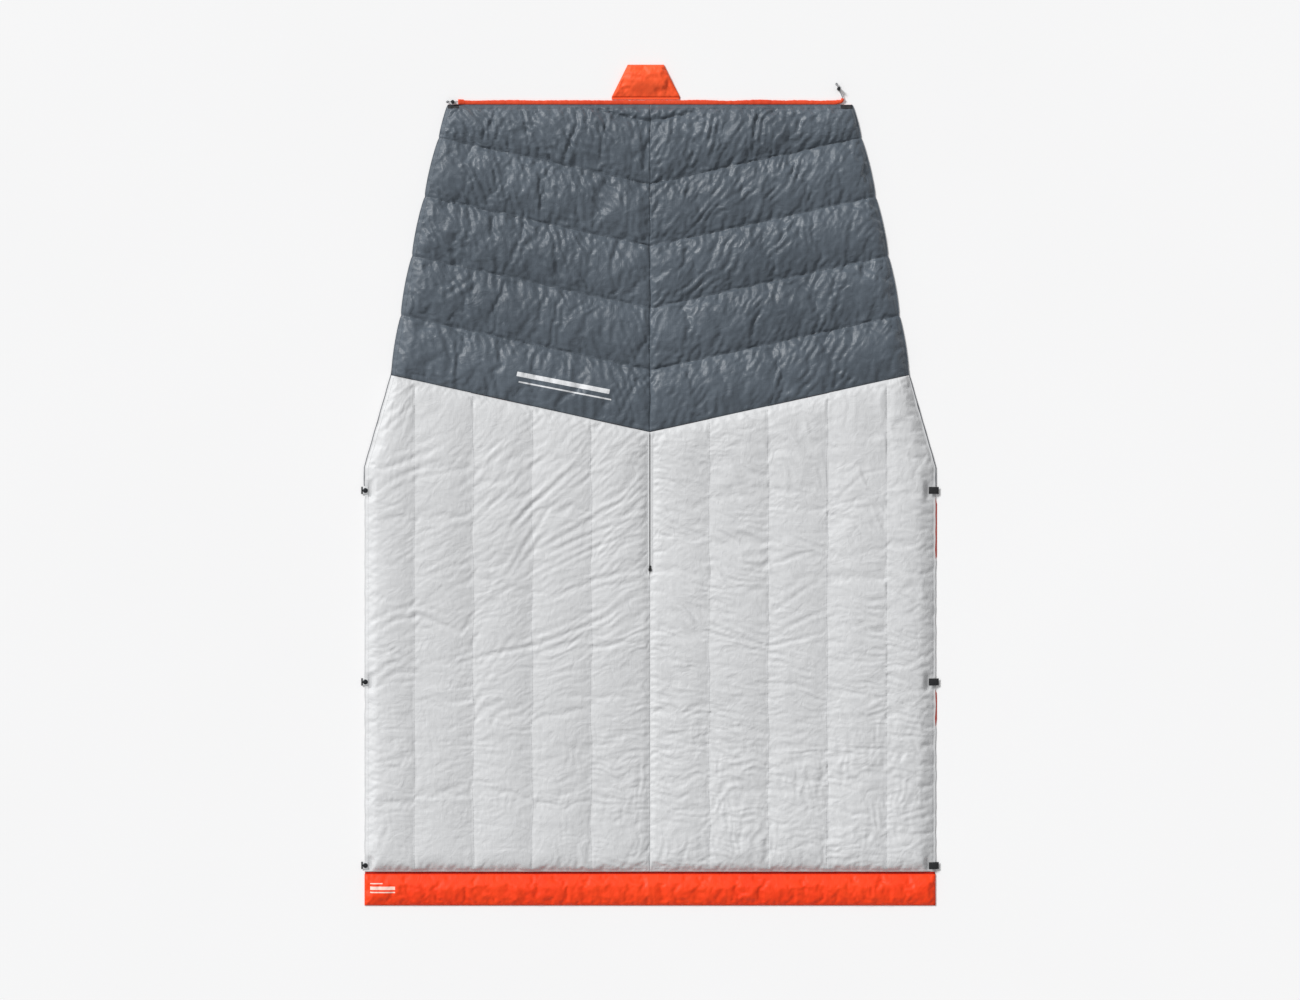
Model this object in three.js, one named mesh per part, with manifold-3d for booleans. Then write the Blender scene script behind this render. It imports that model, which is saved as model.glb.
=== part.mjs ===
// Camp quilt: a down top-quilt lying flat, outside up, foot end toward +Y. Millimetres, +Z up.
// The origin is on the ground, at the middle of the whole quilt in X and Y.
import * as THREE from 'three';
import { mergeVertices } from 'three/addons/utils/BufferGeometryUtils.js';
import Module from 'manifold-3d';

const wasm = await Module();
wasm.setup();

// ---- driving dimensions -------------------------------------------------------------------

// Outline, as half widths at four stations along the length
const HEAD_Y = -929;
const WIDE_Y = 42;
const FOOT_Y = 914;
const HEAD_HALF = 686;
const SHOULDER_HALF = 622;
const FOOT_HALF = 487;
const FOOT_BULGE = 10;

// Chambers: upright ones in the body, V-shaped rows in the foot section
const CHAMBER_PITCH = 141.5;
const BODY_CHAMBERS = 5;
const VEE_TIP_Y = 127;
const VEE_SLOPE = 0.22;
const ROW_PITCH = 149;
const FOOT_ROWS = 5;

// Fabric, loft and the clear space between neighbouring layers
const SKIN = 1.2;
const LAYER_GAP = 0.4;
const DOWN_GAP = 1;
const HEM_TOP = 2 * SKIN + LAYER_GAP;
const HEM_WIDTH = 12;
const SEAM_TOP = 12;
const CROWN_TOP = 27;
const CROWN_RISE = CROWN_TOP - SEAM_TOP;
const WALL_HALF = 0.6;
const WALL_CLEAR = 1.2;
const SHELL_SPLIT = 0.25;

// Head opening in the middle, closed by a zip
const ZIP_HEAD_Y = -208;
const ZIP_FOOT_Y = 121;
const ZIP_LIP = 5.2;
const ZIP_ROOM = 14;
const ZIP_TAPE_WIDTH = 12;
const ZIP_TAPE_Z = 8.4;
const ZIP_TAPE_THICK = 1;
const COIL_HALF_GAP = 0.6;
const COIL_WIDTH = 2;
const COIL_OVER_TAPE = 0.7;
const SLIDER_Y = -195;
const SLIDER_LENGTH = 9;
const SLIDER_HALF = 4.2;

// Draft collar at the head and draft flap at the foot, each on a soft fold
const FOLD_GAP = 6;
const COLLAR_END_Y = -1010;
const COLLAR_CROWN = 15;
const CHANNEL_WIDTH = 12;
const CHANNEL_HEIGHT = 5;
const CHANNEL_HALF = 452;
const FLAP_END_Y = 1010;
const FLAP_X = -10;
const FLAP_BASE_HALF = 82;
const FLAP_TOP_HALF = 43.5;
const FLAP_CROWN = 13;

// Foot drawcord with a push-button lock on each end
const CORD_RADIUS = 1.2;
const CORD_Z = 2.5;
const LOCK_CORD_Z = 6.5;
const LOCK_RADIUS = 4.2;
const LOCK_BORE = 3;
const LOCK_TOP = 11.5;
const LOCK_BASE = 0.2;
const LOCK_FLOOR = 1.2;
const LEFT_LOCK_X = -474;
const LEFT_CORD_END = -488;
const CORD_TURN_RADIUS = 8;
const CORD_TURN = THREE.MathUtils.degToRad(114);
const RIGHT_LOCK_RUN = 22;
const RIGHT_CORD_RUN = 32;

// Snap tabs along both sides
const TAB_STATIONS = [-13, -473, -914];
const TAB_THICK = 1.4;
const TAB_WIDTH = 17;
const LEFT_TAB_INNER = -676;
const LEFT_TAB_OUTER = -694;
const RIGHT_TAB_PIVOT_Z = 3.4;
const RIGHT_TAB_LENGTH = 27;
const RIGHT_TAB_TILT = THREE.MathUtils.degToRad(20);
const RIGHT_TAB_CLEAR = 1;
const RIGHT_TAB_PIVOT_X = -LEFT_TAB_OUTER + RIGHT_TAB_CLEAR * Math.cos(RIGHT_TAB_TILT)
  - TAB_THICK * Math.sin(RIGHT_TAB_TILT);
const SNAP_RADIUS = 6;
const SNAP_HOLE = 1.8;
const SNAP_POST = 1.4;

// ---- materials ----------------------------------------------------------------------------

function finish(color, roughness, metalness = 0) {
  return new THREE.MeshStandardMaterial({ color, roughness, metalness });
}

const materials = {
  slate: finish(0x5e666f, 0.42),
  grey: finish(0xcfd0d2, 0.55),
  orange: finish(0xf54d31, 0.6),
  down: finish(0xf2efe8, 1),
  mesh: finish(0xdcdcda, 0.9),
  tape: finish(0x2c2e31, 0.8),
  plastic: finish(0x1b1c1e, 0.4),
  cord: finish(0x35383c, 0.85),
  steel: finish(0x8d9094, 0.3, 0.9),
  metal: finish(0x26272a, 0.35, 0.8),
};

const quilt = new THREE.Group();

function addPart(name, geometry, material) {
  const part = new THREE.Mesh(geometry, material.clone());
  part.name = name;
  quilt.add(part);
  return part;
}

// ---- solids -------------------------------------------------------------------------------

function bare(geometry) {
  geometry.deleteAttribute('normal');
  geometry.deleteAttribute('uv');
  return mergeVertices(geometry, 1e-4);
}

// A closed solid of nx by ny cells whose top and bottom corners are where place(i, j, top) says.
// Both faces split each cell along the same diagonal, so layers with one grid stay parallel.
function latticeSolid(nx, ny, place) {
  const positions = [];
  const triangles = [];
  const layer = (nx + 1) * (ny + 1);
  const index = (i, j, top) => (top ? 0 : layer) + j * (nx + 1) + i;
  [true, false].forEach((top) => {
    for (let j = 0; j <= ny; j++) {
      for (let i = 0; i <= nx; i++) {
        const at = place(i, j, top);
        positions.push(at.x, at.y, at.z);
      }
    }
  });
  for (let j = 0; j < ny; j++) {
    for (let i = 0; i < nx; i++) {
      const over = [index(i, j, true), index(i + 1, j, true), index(i + 1, j + 1, true),
        index(i, j + 1, true)];
      const under = over.map((n) => n + layer);
      triangles.push(over[0], over[1], over[2], over[0], over[2], over[3]);
      triangles.push(under[0], under[2], under[1], under[0], under[3], under[2]);
    }
  }
  const rim = [];
  for (let i = 0; i < nx; i++) {
    rim.push(index(i, 0, true));
  }
  for (let j = 0; j < ny; j++) {
    rim.push(index(nx, j, true));
  }
  for (let i = nx; i > 0; i--) {
    rim.push(index(i, ny, true));
  }
  for (let j = ny; j > 0; j--) {
    rim.push(index(0, j, true));
  }
  rim.forEach((a, n) => {
    const b = rim[(n + 1) % rim.length];
    triangles.push(a, a + layer, b + layer, a, b + layer, b);
  });
  const solid = new THREE.BufferGeometry();
  solid.setAttribute('position', new THREE.Float32BufferAttribute(positions, 3));
  solid.setIndex(triangles);
  return solid;
}

function toManifold(geometry) {
  const mesh = bare(geometry);
  return new wasm.Manifold(new wasm.Mesh({
    numProp: 3,
    vertProperties: new Float32Array(mesh.attributes.position.array),
    triVerts: new Uint32Array(mesh.index.array),
  }));
}

function fromManifold(solid) {
  const mesh = solid.getMesh();
  const geometry = new THREE.BufferGeometry();
  geometry.setAttribute('position', new THREE.BufferAttribute(mesh.vertProperties, 3));
  geometry.setIndex(new THREE.BufferAttribute(mesh.triVerts, 1));
  return geometry;
}

function join(geometries) {
  return fromManifold(geometries.map(toManifold).reduce((whole, piece) => whole.add(piece)));
}

function cut(geometry, ...tools) {
  return fromManifold(tools.map(toManifold).reduce((whole, tool) => whole.subtract(tool),
    toManifold(geometry)));
}

function block(x0, x1, y0, y1, z0, z1) {
  const box = new THREE.BoxGeometry(x1 - x0, y1 - y0, z1 - z0);
  return box.translate((x0 + x1) / 2, (y0 + y1) / 2, (z0 + z1) / 2);
}

function outline(points) {
  return new THREE.Shape(points.map(([x, y]) => new THREE.Vector2(x, y)));
}

// A flat shape drawn in X and Y, from z0 up to z1.
function plate(shape, z0, z1, curveSegments = 6) {
  const flat = new THREE.ExtrudeGeometry(shape, {
    depth: z1 - z0,
    bevelEnabled: false,
    curveSegments,
  });
  return flat.translate(0, 0, z0);
}

// A section drawn in X and Z, run along Y from y0 to y1.
function runAlongY(shape, y0, y1) {
  return plate(shape, 0, y1 - y0).rotateX(Math.PI / 2).translate(0, y1, 0);
}

// A turned solid on the Z axis from [radius, z] pairs that start and end on the axis.
function turned(profile, sides = 16) {
  return new THREE.LatheGeometry(profile.map(([r, z]) => new THREE.Vector2(r, z)), sides)
    .rotateX(Math.PI / 2);
}

function rod(radius, length, sides = 12) {
  return new THREE.CylinderGeometry(radius, radius, length, sides);
}

function mix(a, b, t) {
  return a + (b - a) * t;
}

// Reads a list of [station, value, value ...] rows at any station between them.
function readProfile(profile, station) {
  let k = 0;
  while (k < profile.length - 2 && station > profile[k + 1][0]) {
    k++;
  }
  const t = (station - profile[k][0]) / (profile[k + 1][0] - profile[k][0]);
  return profile[k].map((value, n) => mix(value, profile[k + 1][n], t));
}

// ---- the quilt's outline and thickness ----------------------------------------------------

const SHOULDER_Y = VEE_TIP_Y + VEE_SLOPE * SHOULDER_HALF;

function halfWidth(y) {
  if (y <= WIDE_Y) {
    return HEAD_HALF;
  }
  if (y <= SHOULDER_Y) {
    return mix(HEAD_HALF, SHOULDER_HALF, (y - WIDE_Y) / (SHOULDER_Y - WIDE_Y));
  }
  const t = (y - SHOULDER_Y) / (FOOT_Y - SHOULDER_Y);
  return mix(SHOULDER_HALF, FOOT_HALF, t) + FOOT_BULGE * 4 * t * (1 - t);
}

// The V-shaped seam that starts foot row k; row 0 starts at the end of the body.
function veeY(row, x) {
  return VEE_TIP_Y + ROW_PITCH * row + VEE_SLOPE * Math.abs(x);
}

// Across a chamber: [fraction, share of the crown].
const ACROSS = [[0, 0], [0.25, 1], [0.75, 1], [1, 0]];
// Across the outer chamber, up to the hem: [fraction, height of the base, share of the crown].
const ACROSS_OUTER = [
  [0, SEAM_TOP, 0], [0.3, SEAM_TOP, 1], [0.65, SEAM_TOP, 0.8], [0.88, 8, 0.2], [1, HEM_TOP, 0],
];
// Along a chamber from the head hem: [distance, share of the base, share of the crown].
const ALONG_HEAD = [[0, 0, 0], [12, 0, 0], [24, 0.45, 0.45], [48, 0.85, 0.85], [90, 1, 1]];
// Along a chamber back from the V-shaped seam: [distance, share of the base, share of the crown].
const ALONG_VEE = [[0, 1, 0], [22, 1, 0.6], [60, 1, 1]];
// Along a foot row, from the middle to the hem: [fraction, share of base, share of crown].
const ALONG_ROW = [
  [0, 1, 0], [0.07, 1, 0.7], [0.2, 1, 1], [0.5, 1, 1], [0.8, 1, 1],
  [0.91, 0.85, 0.85], [0.96, 0.45, 0.45], [1, 0, 0],
];
// Across the last foot row, up to the foot hem: [fraction, share of base, share of crown].
const ACROSS_LAST = [[0, 1, 0], [0.25, 1, 1], [0.7, 1, 0.9], [0.88, 0.5, 0.5], [1, 0, 0]];

function topOf(baseShare, base, rise) {
  return HEM_TOP + baseShare * (base - HEM_TOP + rise);
}

// The stations along one upright chamber at x, from the head hem to the V-shaped seam:
// each has y, share of base, share of crown, and whether the zip passes it.
function bodyStations() {
  const stations = ALONG_HEAD.map(([d, base, crown]) => ({
    base,
    crown,
    zip: false,
    y: () => HEAD_Y + d,
  }));
  const zipEnd = ZIP_HEAD_Y - 4;
  stations.push({ base: 1, crown: 1, zip: false, y: () => zipEnd - 2 });
  stations.push({ base: 1, crown: 1, zip: true, y: () => zipEnd });
  stations.push({ base: 1, crown: 1, zip: true, y: () => WIDE_Y });
  [...ALONG_VEE].reverse().forEach(([d, base, crown]) => {
    stations.push({ base, crown, zip: true, y: (x) => veeY(0, x) - d });
  });
  return stations;
}

const BODY_STATIONS = bodyStations();

// The stations across chamber c of one half: each has the base, the crown share and its x.
function chamberStations(c) {
  const inner = c * CHAMBER_PITCH;
  if (c < BODY_CHAMBERS - 1) {
    return ACROSS.map(([f, crown]) => ({
      base: SEAM_TOP,
      crown,
      f,
      x: () => inner + f * CHAMBER_PITCH,
    }));
  }
  return ACROSS_OUTER.map(([f, base, crown]) => ({
    base,
    crown,
    f,
    x: (y) => mix(inner, halfWidth(y) - HEM_WIDTH, f),
  }));
}

// x and y depend on each other near the tapering sides, so they are settled by turns.
function settle(xAt, yAt) {
  let x = xAt(0);
  let y = yAt(x);
  for (let n = 0; n < 8; n++) {
    x = xAt(y);
    y = yAt(x);
  }
  return { x, y };
}

// One corner of the top of the body, on the +X half.
function bodyCorner(across, along) {
  const at = settle(across.x, along.y);
  const z = topOf(along.base, across.base, along.crown * across.crown * CROWN_RISE);
  return { ...at, z };
}

function footLower(row, x) {
  return veeY(row, x);
}

function footUpper(row, x) {
  return row === FOOT_ROWS - 1 ? FOOT_Y - HEM_WIDTH : veeY(row + 1, x);
}

function rowAcross(row) {
  return row === FOOT_ROWS - 1 ? ACROSS_LAST : ACROSS.map(([f, crown]) => [f, 1, crown]);
}

// One corner of the top of foot row `row`, on the +X half: f across the row, s along it, or
// past the end of the row on the hem's outer edge.
function footCorner(row, f, s, onHemEdge = false) {
  const [, acrossBase, acrossCrown] = readProfile(rowAcross(row), f);
  const [, alongBase, alongCrown] = readProfile(ALONG_ROW, s);
  const at = settle(
    (y) => (onHemEdge ? halfWidth(y) : s * (halfWidth(y) - HEM_WIDTH)),
    (x) => mix(footLower(row, x), footUpper(row, x), f),
  );
  const rise = acrossCrown * alongCrown * CROWN_RISE;
  return { ...at, z: topOf(acrossBase * alongBase, SEAM_TOP, rise) };
}

// Turns a +X half solid's place into the same place on either half.
function mirrored(side, nx, place) {
  return (i, j, top) => {
    const at = place(side > 0 ? i : nx - i, j, top);
    return { x: side * at.x, y: at.y, z: at.z };
  };
}

// ---- fabric skins -------------------------------------------------------------------------

function shellBody(side) {
  const across = [];
  for (let c = 0; c < BODY_CHAMBERS; c++) {
    across.push(...chamberStations(c).slice(c === 0 ? 0 : 1));
  }
  across.push({ base: HEM_TOP, crown: 0, x: (y) => halfWidth(y) });
  const nx = across.length - 1;
  const ny = BODY_STATIONS.length - 1;
  return latticeSolid(nx, ny, mirrored(side, nx, (i, j, top) => {
    const along = BODY_STATIONS[j];
    const at = bodyCorner(across[i], along);
    if (i === 0) {
      at.x = along.zip ? ZIP_LIP : SHELL_SPLIT;
    }
    if (j === ny) {
      at.y -= SHELL_SPLIT;
    }
    at.z -= top ? 0 : SKIN;
    return at;
  }));
}

function shellFoot(side) {
  const rows = [];
  for (let row = 0; row < FOOT_ROWS; row++) {
    rowAcross(row).slice(row === 0 ? 0 : 1).forEach(([f]) => rows.push({ row, f }));
  }
  const nx = ALONG_ROW.length;
  const ny = rows.length;
  return latticeSolid(nx, ny, mirrored(side, nx, (i, j, top) => {
    const { row, f } = rows[Math.min(j, ny - 1)];
    const s = ALONG_ROW[Math.min(i, nx - 1)][0];
    const at = footCorner(row, f, s, i === nx);
    if (j === ny) {
      at.y = FOOT_Y;
      at.x = i === nx ? FOOT_HALF : s * (FOOT_HALF - HEM_WIDTH);
    }
    if (j === 0) {
      at.y += SHELL_SPLIT;
    }
    if (i === 0) {
      at.x = SHELL_SPLIT;
    }
    at.z -= top ? 0 : SKIN;
    return at;
  }));
}

function linerSheet() {
  const right = [[HEAD_HALF, HEAD_Y], [HEAD_HALF, WIDE_Y], [SHOULDER_HALF, SHOULDER_Y]];
  const bends = 4;
  for (let n = 1; n <= bends; n++) {
    const y = mix(SHOULDER_Y, FOOT_Y, n / bends);
    right.push([halfWidth(y), y]);
  }
  const left = right.map(([x, y]) => [-x, y]).reverse();
  const sheet = outline([...right, ...left]);
  const slit = outline([
    [-COIL_HALF_GAP, ZIP_HEAD_Y], [COIL_HALF_GAP, ZIP_HEAD_Y],
    [COIL_HALF_GAP, ZIP_FOOT_Y], [-COIL_HALF_GAP, ZIP_FOOT_Y],
  ]);
  sheet.holes.push(slit);
  return plate(sheet, 0, SKIN);
}

// ---- down chambers ------------------------------------------------------------------------

const DOWN_BOTTOM = SKIN + LAYER_GAP;
const DOWN_DROP = SKIN + DOWN_GAP;
const FIRST_DOWN_STATION = 2;

function bodyDown(side, c) {
  const stations = chamberStations(c);
  const last = stations.length - 1;
  const outer = c === BODY_CHAMBERS - 1;
  const across = outer ? stations.slice(0, last) : stations;
  const along = BODY_STATIONS.slice(FIRST_DOWN_STATION);
  const nx = across.length - 1;
  const ny = along.length - 1;
  return latticeSolid(nx, ny, mirrored(side, nx, (i, j, top) => {
    const at = bodyCorner(across[i], along[j]);
    if (i === 0) {
      at.x += c === 0 && along[j].zip ? ZIP_ROOM : WALL_CLEAR;
    }
    if (i === nx && !outer) {
      at.x -= WALL_CLEAR;
    }
    if (j === ny) {
      at.y -= 2 * WALL_CLEAR;
    }
    at.z = top ? at.z - DOWN_DROP : DOWN_BOTTOM;
    return at;
  }));
}

function footDown(side, row) {
  const across = rowAcross(row).map(([f]) => f);
  if (row === FOOT_ROWS - 1) {
    across.pop();
  }
  const along = ALONG_ROW.slice(0, -1).map(([s]) => s);
  const nx = along.length - 1;
  const ny = across.length - 1;
  return latticeSolid(nx, ny, mirrored(side, nx, (i, j, top) => {
    const at = footCorner(row, across[j], along[i]);
    if (i === 0) {
      at.x += WALL_CLEAR;
    }
    if (j === 0) {
      at.y += 2 * WALL_CLEAR;
    }
    if (j === ny && row < FOOT_ROWS - 1) {
      at.y -= WALL_CLEAR;
    }
    at.z = top ? at.z - DOWN_DROP : DOWN_BOTTOM;
    return at;
  }));
}

// ---- baffle walls -------------------------------------------------------------------------

const WALL_DROP = SKIN + LAYER_GAP + 0.1;

// A thin upright wall along a list of {x, y, z} points under the seam, thick along X or along Y.
function wallAlong(points, thickAlongX) {
  const last = points.length - 1;
  return latticeSolid(last, 1, (i, j, top) => {
    const at = points[i];
    const offset = j ? WALL_HALF : -WALL_HALF;
    return {
      x: at.x - (thickAlongX ? offset : 0),
      y: at.y + (thickAlongX ? 0 : offset),
      z: top ? at.z - WALL_DROP : DOWN_BOTTOM,
    };
  });
}

function bodyWall(x, seamTop = SEAM_TOP) {
  const across = { base: seamTop, crown: 0, x: () => Math.abs(x) };
  const points = BODY_STATIONS.slice(FIRST_DOWN_STATION).map((along) => {
    const at = bodyCorner(across, along);
    return { ...at, x };
  });
  return wallAlong(points, true);
}

function veeWall(row) {
  const half = ALONG_ROW.slice(0, -1).map(([s]) => footCorner(row, 0, s));
  const otherHalf = half.slice(1).map((at) => ({ ...at, x: -at.x })).reverse();
  return wallAlong([...otherHalf, ...half], false);
}

function baffleLattice() {
  const walls = [];
  for (let row = 0; row < FOOT_ROWS; row++) {
    walls.push(veeWall(row));
  }
  for (let c = 1; c < BODY_CHAMBERS; c++) {
    walls.push(bodyWall(c * CHAMBER_PITCH), bodyWall(-c * CHAMBER_PITCH));
  }
  const centre = [];
  for (let row = 0; row < FOOT_ROWS; row++) {
    rowAcross(row).slice(row === 0 ? 0 : 1).forEach(([f]) => centre.push(footCorner(row, f, 0)));
  }
  centre.pop();
  walls.push(wallAlong(centre, true));
  return join(walls);
}

function baffleCentre() {
  const points = BODY_STATIONS.filter((along) => !along.zip).slice(FIRST_DOWN_STATION)
    .map((along) => bodyCorner({ base: SEAM_TOP, crown: 0, x: () => 0 }, along));
  return wallAlong(points, true);
}

// ---- draft collar and draft flap ----------------------------------------------------------

// Across a padded flap from its fold to its free edge: [fraction, share of the crown].
const FLAP_ACROSS = [
  [0, 0], [0.13, 0], [0.22, 0.4], [0.4, 0.9], [0.65, 1], [0.87, 0.55], [1, 0],
];

// A padded flap: nx columns given by columnX(i, f) and end shares, from the fold to the free edge.
// layer is 'shell', 'down' or 'lining'.
function paddedFlap(layer, foldY, endY, columns, columnX, crown) {
  const isDown = layer === 'down';
  const rows = isDown ? FLAP_ACROSS.slice(2, -1) : FLAP_ACROSS;
  const used = isDown ? columns.slice(1, -1) : columns;
  const nx = used.length - 1;
  const ny = rows.length - 1;
  const outward = endY > foldY;
  return latticeSolid(nx, ny, (i, j, top) => {
    const [f, acrossShare] = rows[outward ? j : ny - j];
    const [s, alongShare] = used[i];
    const y = mix(foldY, endY, f);
    const z = HEM_TOP + acrossShare * alongShare * (crown - HEM_TOP);
    const x = columnX(s, f);
    if (layer === 'lining') {
      return { x, y, z: top ? SKIN : 0 };
    }
    if (layer === 'shell') {
      return { x, y, z: top ? z : z - SKIN };
    }
    return { x, y, z: top ? z - SKIN - LAYER_GAP : DOWN_BOTTOM };
  });
}

// Columns along the collar and the flap: [position from -1 to 1, share of the crown].
const COLLAR_COLUMNS = [
  [-1, 0], [-0.97, 0.5], [-0.9, 1], [-0.45, 1], [0, 1], [0.45, 1], [0.9, 1], [0.97, 0.5], [1, 0],
];
const FLAP_COLUMNS = [[-1, 0], [-0.85, 0.6], [-0.5, 1], [0.5, 1], [0.85, 0.6], [1, 0]];

function collar(layer) {
  return paddedFlap(layer, HEAD_Y - FOLD_GAP, COLLAR_END_Y, COLLAR_COLUMNS,
    (s) => s * HEAD_HALF, COLLAR_CROWN);
}

function flap(layer) {
  const foldY = FOOT_Y + LAYER_GAP + CHANNEL_WIDTH + FOLD_GAP;
  return paddedFlap(layer, foldY, FLAP_END_Y, FLAP_COLUMNS,
    (s, f) => FLAP_X + s * mix(FLAP_BASE_HALF, FLAP_TOP_HALF, f), FLAP_CROWN);
}

// ---- zip ----------------------------------------------------------------------------------

const COIL_OUTER = COIL_HALF_GAP + COIL_WIDTH;
const TAPE_TOP = ZIP_TAPE_Z + ZIP_TAPE_THICK;
const COIL_TOP = TAPE_TOP + COIL_OVER_TAPE;
const COIL_BOTTOM = ZIP_TAPE_Z - COIL_OVER_TAPE;

function zipTape(side) {
  const section = [
    [COIL_HALF_GAP, COIL_BOTTOM], [COIL_OUTER, COIL_BOTTOM], [COIL_OUTER, ZIP_TAPE_Z],
    [ZIP_TAPE_WIDTH, ZIP_TAPE_Z], [ZIP_TAPE_WIDTH, TAPE_TOP], [COIL_OUTER, TAPE_TOP],
    [COIL_OUTER, COIL_TOP], [COIL_HALF_GAP, COIL_TOP],
  ];
  const turnedRound = section.map(([x, z]) => [side * x, z]);
  return runAlongY(outline(turnedRound), ZIP_HEAD_Y, ZIP_FOOT_Y);
}

const PLATE_THICK = 1.2;
const SLIDER_CLEAR = 0.4;
const SLIDER_TOP = COIL_TOP + SLIDER_CLEAR + PLATE_THICK;
const BAIL_HALF = 0.7;
const BAIL_HEIGHT = 4.5;
const BAIL_WIRE = 1;
const PULL_THICK = 1;
const PULL_AXIS_Z = SLIDER_TOP + 2.6;
const PULL_AXIS_Y = SLIDER_Y + 0.6;

function zipSlider() {
  const y0 = SLIDER_Y - SLIDER_LENGTH / 2;
  const y1 = SLIDER_Y + SLIDER_LENGTH / 2;
  const under = COIL_BOTTOM - SLIDER_CLEAR;
  const over = COIL_TOP + SLIDER_CLEAR;
  const flange = 0.8;
  const fin = 0.3;
  const finLength = 2.5;
  const body = join([
    block(-SLIDER_HALF, SLIDER_HALF, y0, y1, over, SLIDER_TOP),
    block(-SLIDER_HALF, SLIDER_HALF, y0, y1, under - PLATE_THICK, under),
    block(-fin, fin, y1 - finLength, y1, under - 0.1, over + 0.1),
    block(-SLIDER_HALF, flange - SLIDER_HALF, y0, y1, TAPE_TOP + SLIDER_CLEAR, SLIDER_TOP),
    block(SLIDER_HALF - flange, SLIDER_HALF, y0, y1, TAPE_TOP + SLIDER_CLEAR, SLIDER_TOP),
    block(-BAIL_HALF, BAIL_HALF, SLIDER_Y - 3.4, SLIDER_Y + 3, SLIDER_TOP - 0.1,
      SLIDER_TOP + BAIL_HEIGHT),
  ]);
  const eye = block(-BAIL_HALF - 1, BAIL_HALF + 1, SLIDER_Y - 3.4 + BAIL_WIRE,
    SLIDER_Y + 3 - BAIL_WIRE, SLIDER_TOP, SLIDER_TOP + BAIL_HEIGHT - BAIL_WIRE);
  return cut(body, eye);
}

function zipPull() {
  const bar = 0.5;
  const tip = -13;
  const tongue = outline([
    [-2.4, bar], [-2.4, -5], [-3.8, -7], [-3.8, tip + 2], [-2.2, tip],
    [2.2, tip], [3.8, tip + 2], [3.8, -7], [2.4, -5], [2.4, bar],
  ]);
  tongue.holes.push(outline([[-1.2, -bar], [1.2, -bar], [1.2, -4.6], [-1.2, -4.6]]));
  const flat = plate(tongue, -PULL_THICK / 2, PULL_THICK / 2);
  return flat.translate(0, PULL_AXIS_Y, PULL_AXIS_Z);
}

function zipStop(y) {
  const half = 2.6;
  return block(-half, half, y - 1.5, y + 1.5, COIL_BOTTOM, COIL_TOP);
}

// ---- foot drawcord, its channel and its locks ---------------------------------------------

const CHANNEL_Y = FOOT_Y + LAYER_GAP + CHANNEL_WIDTH / 2;

function footChannel() {
  const half = CHANNEL_WIDTH / 2;
  const wall = 0.8;
  const section = outline([
    [-half, 0], [half, 0], [half, 1.6], [half - 2.5, CHANNEL_HEIGHT],
    [2.5 - half, CHANNEL_HEIGHT], [-half, 1.6],
  ]);
  section.holes.push(outline([
    [2.5 - half, wall], [half - 2.5, wall],
    [half - 3, CHANNEL_HEIGHT - wall], [3 - half, CHANNEL_HEIGHT - wall],
  ]));
  return plate(section, -CHANNEL_HALF, CHANNEL_HALF)
    .rotateX(Math.PI / 2)
    .rotateZ(Math.PI / 2)
    .translate(0, CHANNEL_Y, 0);
}

function cordAlong(curve, steps) {
  const sides = 8;
  const ring = new THREE.Shape();
  for (let n = 0; n < sides; n++) {
    const turn = ((n + 0.5) / sides) * 2 * Math.PI;
    const at = [CORD_RADIUS * Math.cos(turn), CORD_RADIUS * Math.sin(turn)];
    if (n === 0) {
      ring.moveTo(...at);
    } else {
      ring.lineTo(...at);
    }
  }
  ring.closePath();
  return new THREE.ExtrudeGeometry(ring, { steps, bevelEnabled: false, extrudePath: curve });
}

const RAMP_START = CHANNEL_HALF + 1;
const TURN_CENTRE = { x: RAMP_START + 2, y: CHANNEL_Y + CORD_TURN_RADIUS };

// A point on the right-hand cord end: `run` millimetres past the end of its turn.
function rightCordPoint(run) {
  const angle = CORD_TURN - Math.PI / 2;
  return new THREE.Vector3(
    TURN_CENTRE.x + CORD_TURN_RADIUS * Math.cos(angle) - run * Math.sin(angle),
    TURN_CENTRE.y + CORD_TURN_RADIUS * Math.sin(angle) + run * Math.cos(angle),
    LOCK_CORD_Z,
  );
}

function footDrawcord() {
  const overlap = 1;
  const straight = new THREE.LineCurve3(
    new THREE.Vector3(-RAMP_START - overlap, CHANNEL_Y, CORD_Z),
    new THREE.Vector3(TURN_CENTRE.x + overlap, CHANNEL_Y, CORD_Z),
  );
  const leftEnd = new THREE.CatmullRomCurve3([
    new THREE.Vector3(-RAMP_START, CHANNEL_Y, CORD_Z),
    new THREE.Vector3(-RAMP_START - 4, CHANNEL_Y, CORD_Z + 0.8),
    new THREE.Vector3(-RAMP_START - 10, CHANNEL_Y, LOCK_CORD_Z - 0.5),
    new THREE.Vector3(-RAMP_START - 14, CHANNEL_Y, LOCK_CORD_Z),
    new THREE.Vector3(LEFT_CORD_END, CHANNEL_Y, LOCK_CORD_Z),
  ]);
  const turn = [];
  const turnSteps = 5;
  for (let n = 0; n <= turnSteps; n++) {
    const angle = (CORD_TURN * n) / turnSteps - Math.PI / 2;
    turn.push(new THREE.Vector3(
      TURN_CENTRE.x + CORD_TURN_RADIUS * Math.cos(angle),
      TURN_CENTRE.y + CORD_TURN_RADIUS * Math.sin(angle),
      mix(CORD_Z, LOCK_CORD_Z, THREE.MathUtils.smoothstep(n, 0, turnSteps)),
    ));
  }
  const rightEnd = new THREE.CatmullRomCurve3([
    ...turn, rightCordPoint(8), rightCordPoint(RIGHT_CORD_RUN),
  ]);
  return join([cordAlong(straight, 1), cordAlong(leftEnd, 12), cordAlong(rightEnd, 18)]);
}

const PLUNGER_BOTTOM = 4.7;
const PLUNGER_BAR = 0.5;
const SLOT_TOP = 10.2;
const BUTTON_TOP = 16;
const CORD_HOLE = 1.7;

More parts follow.
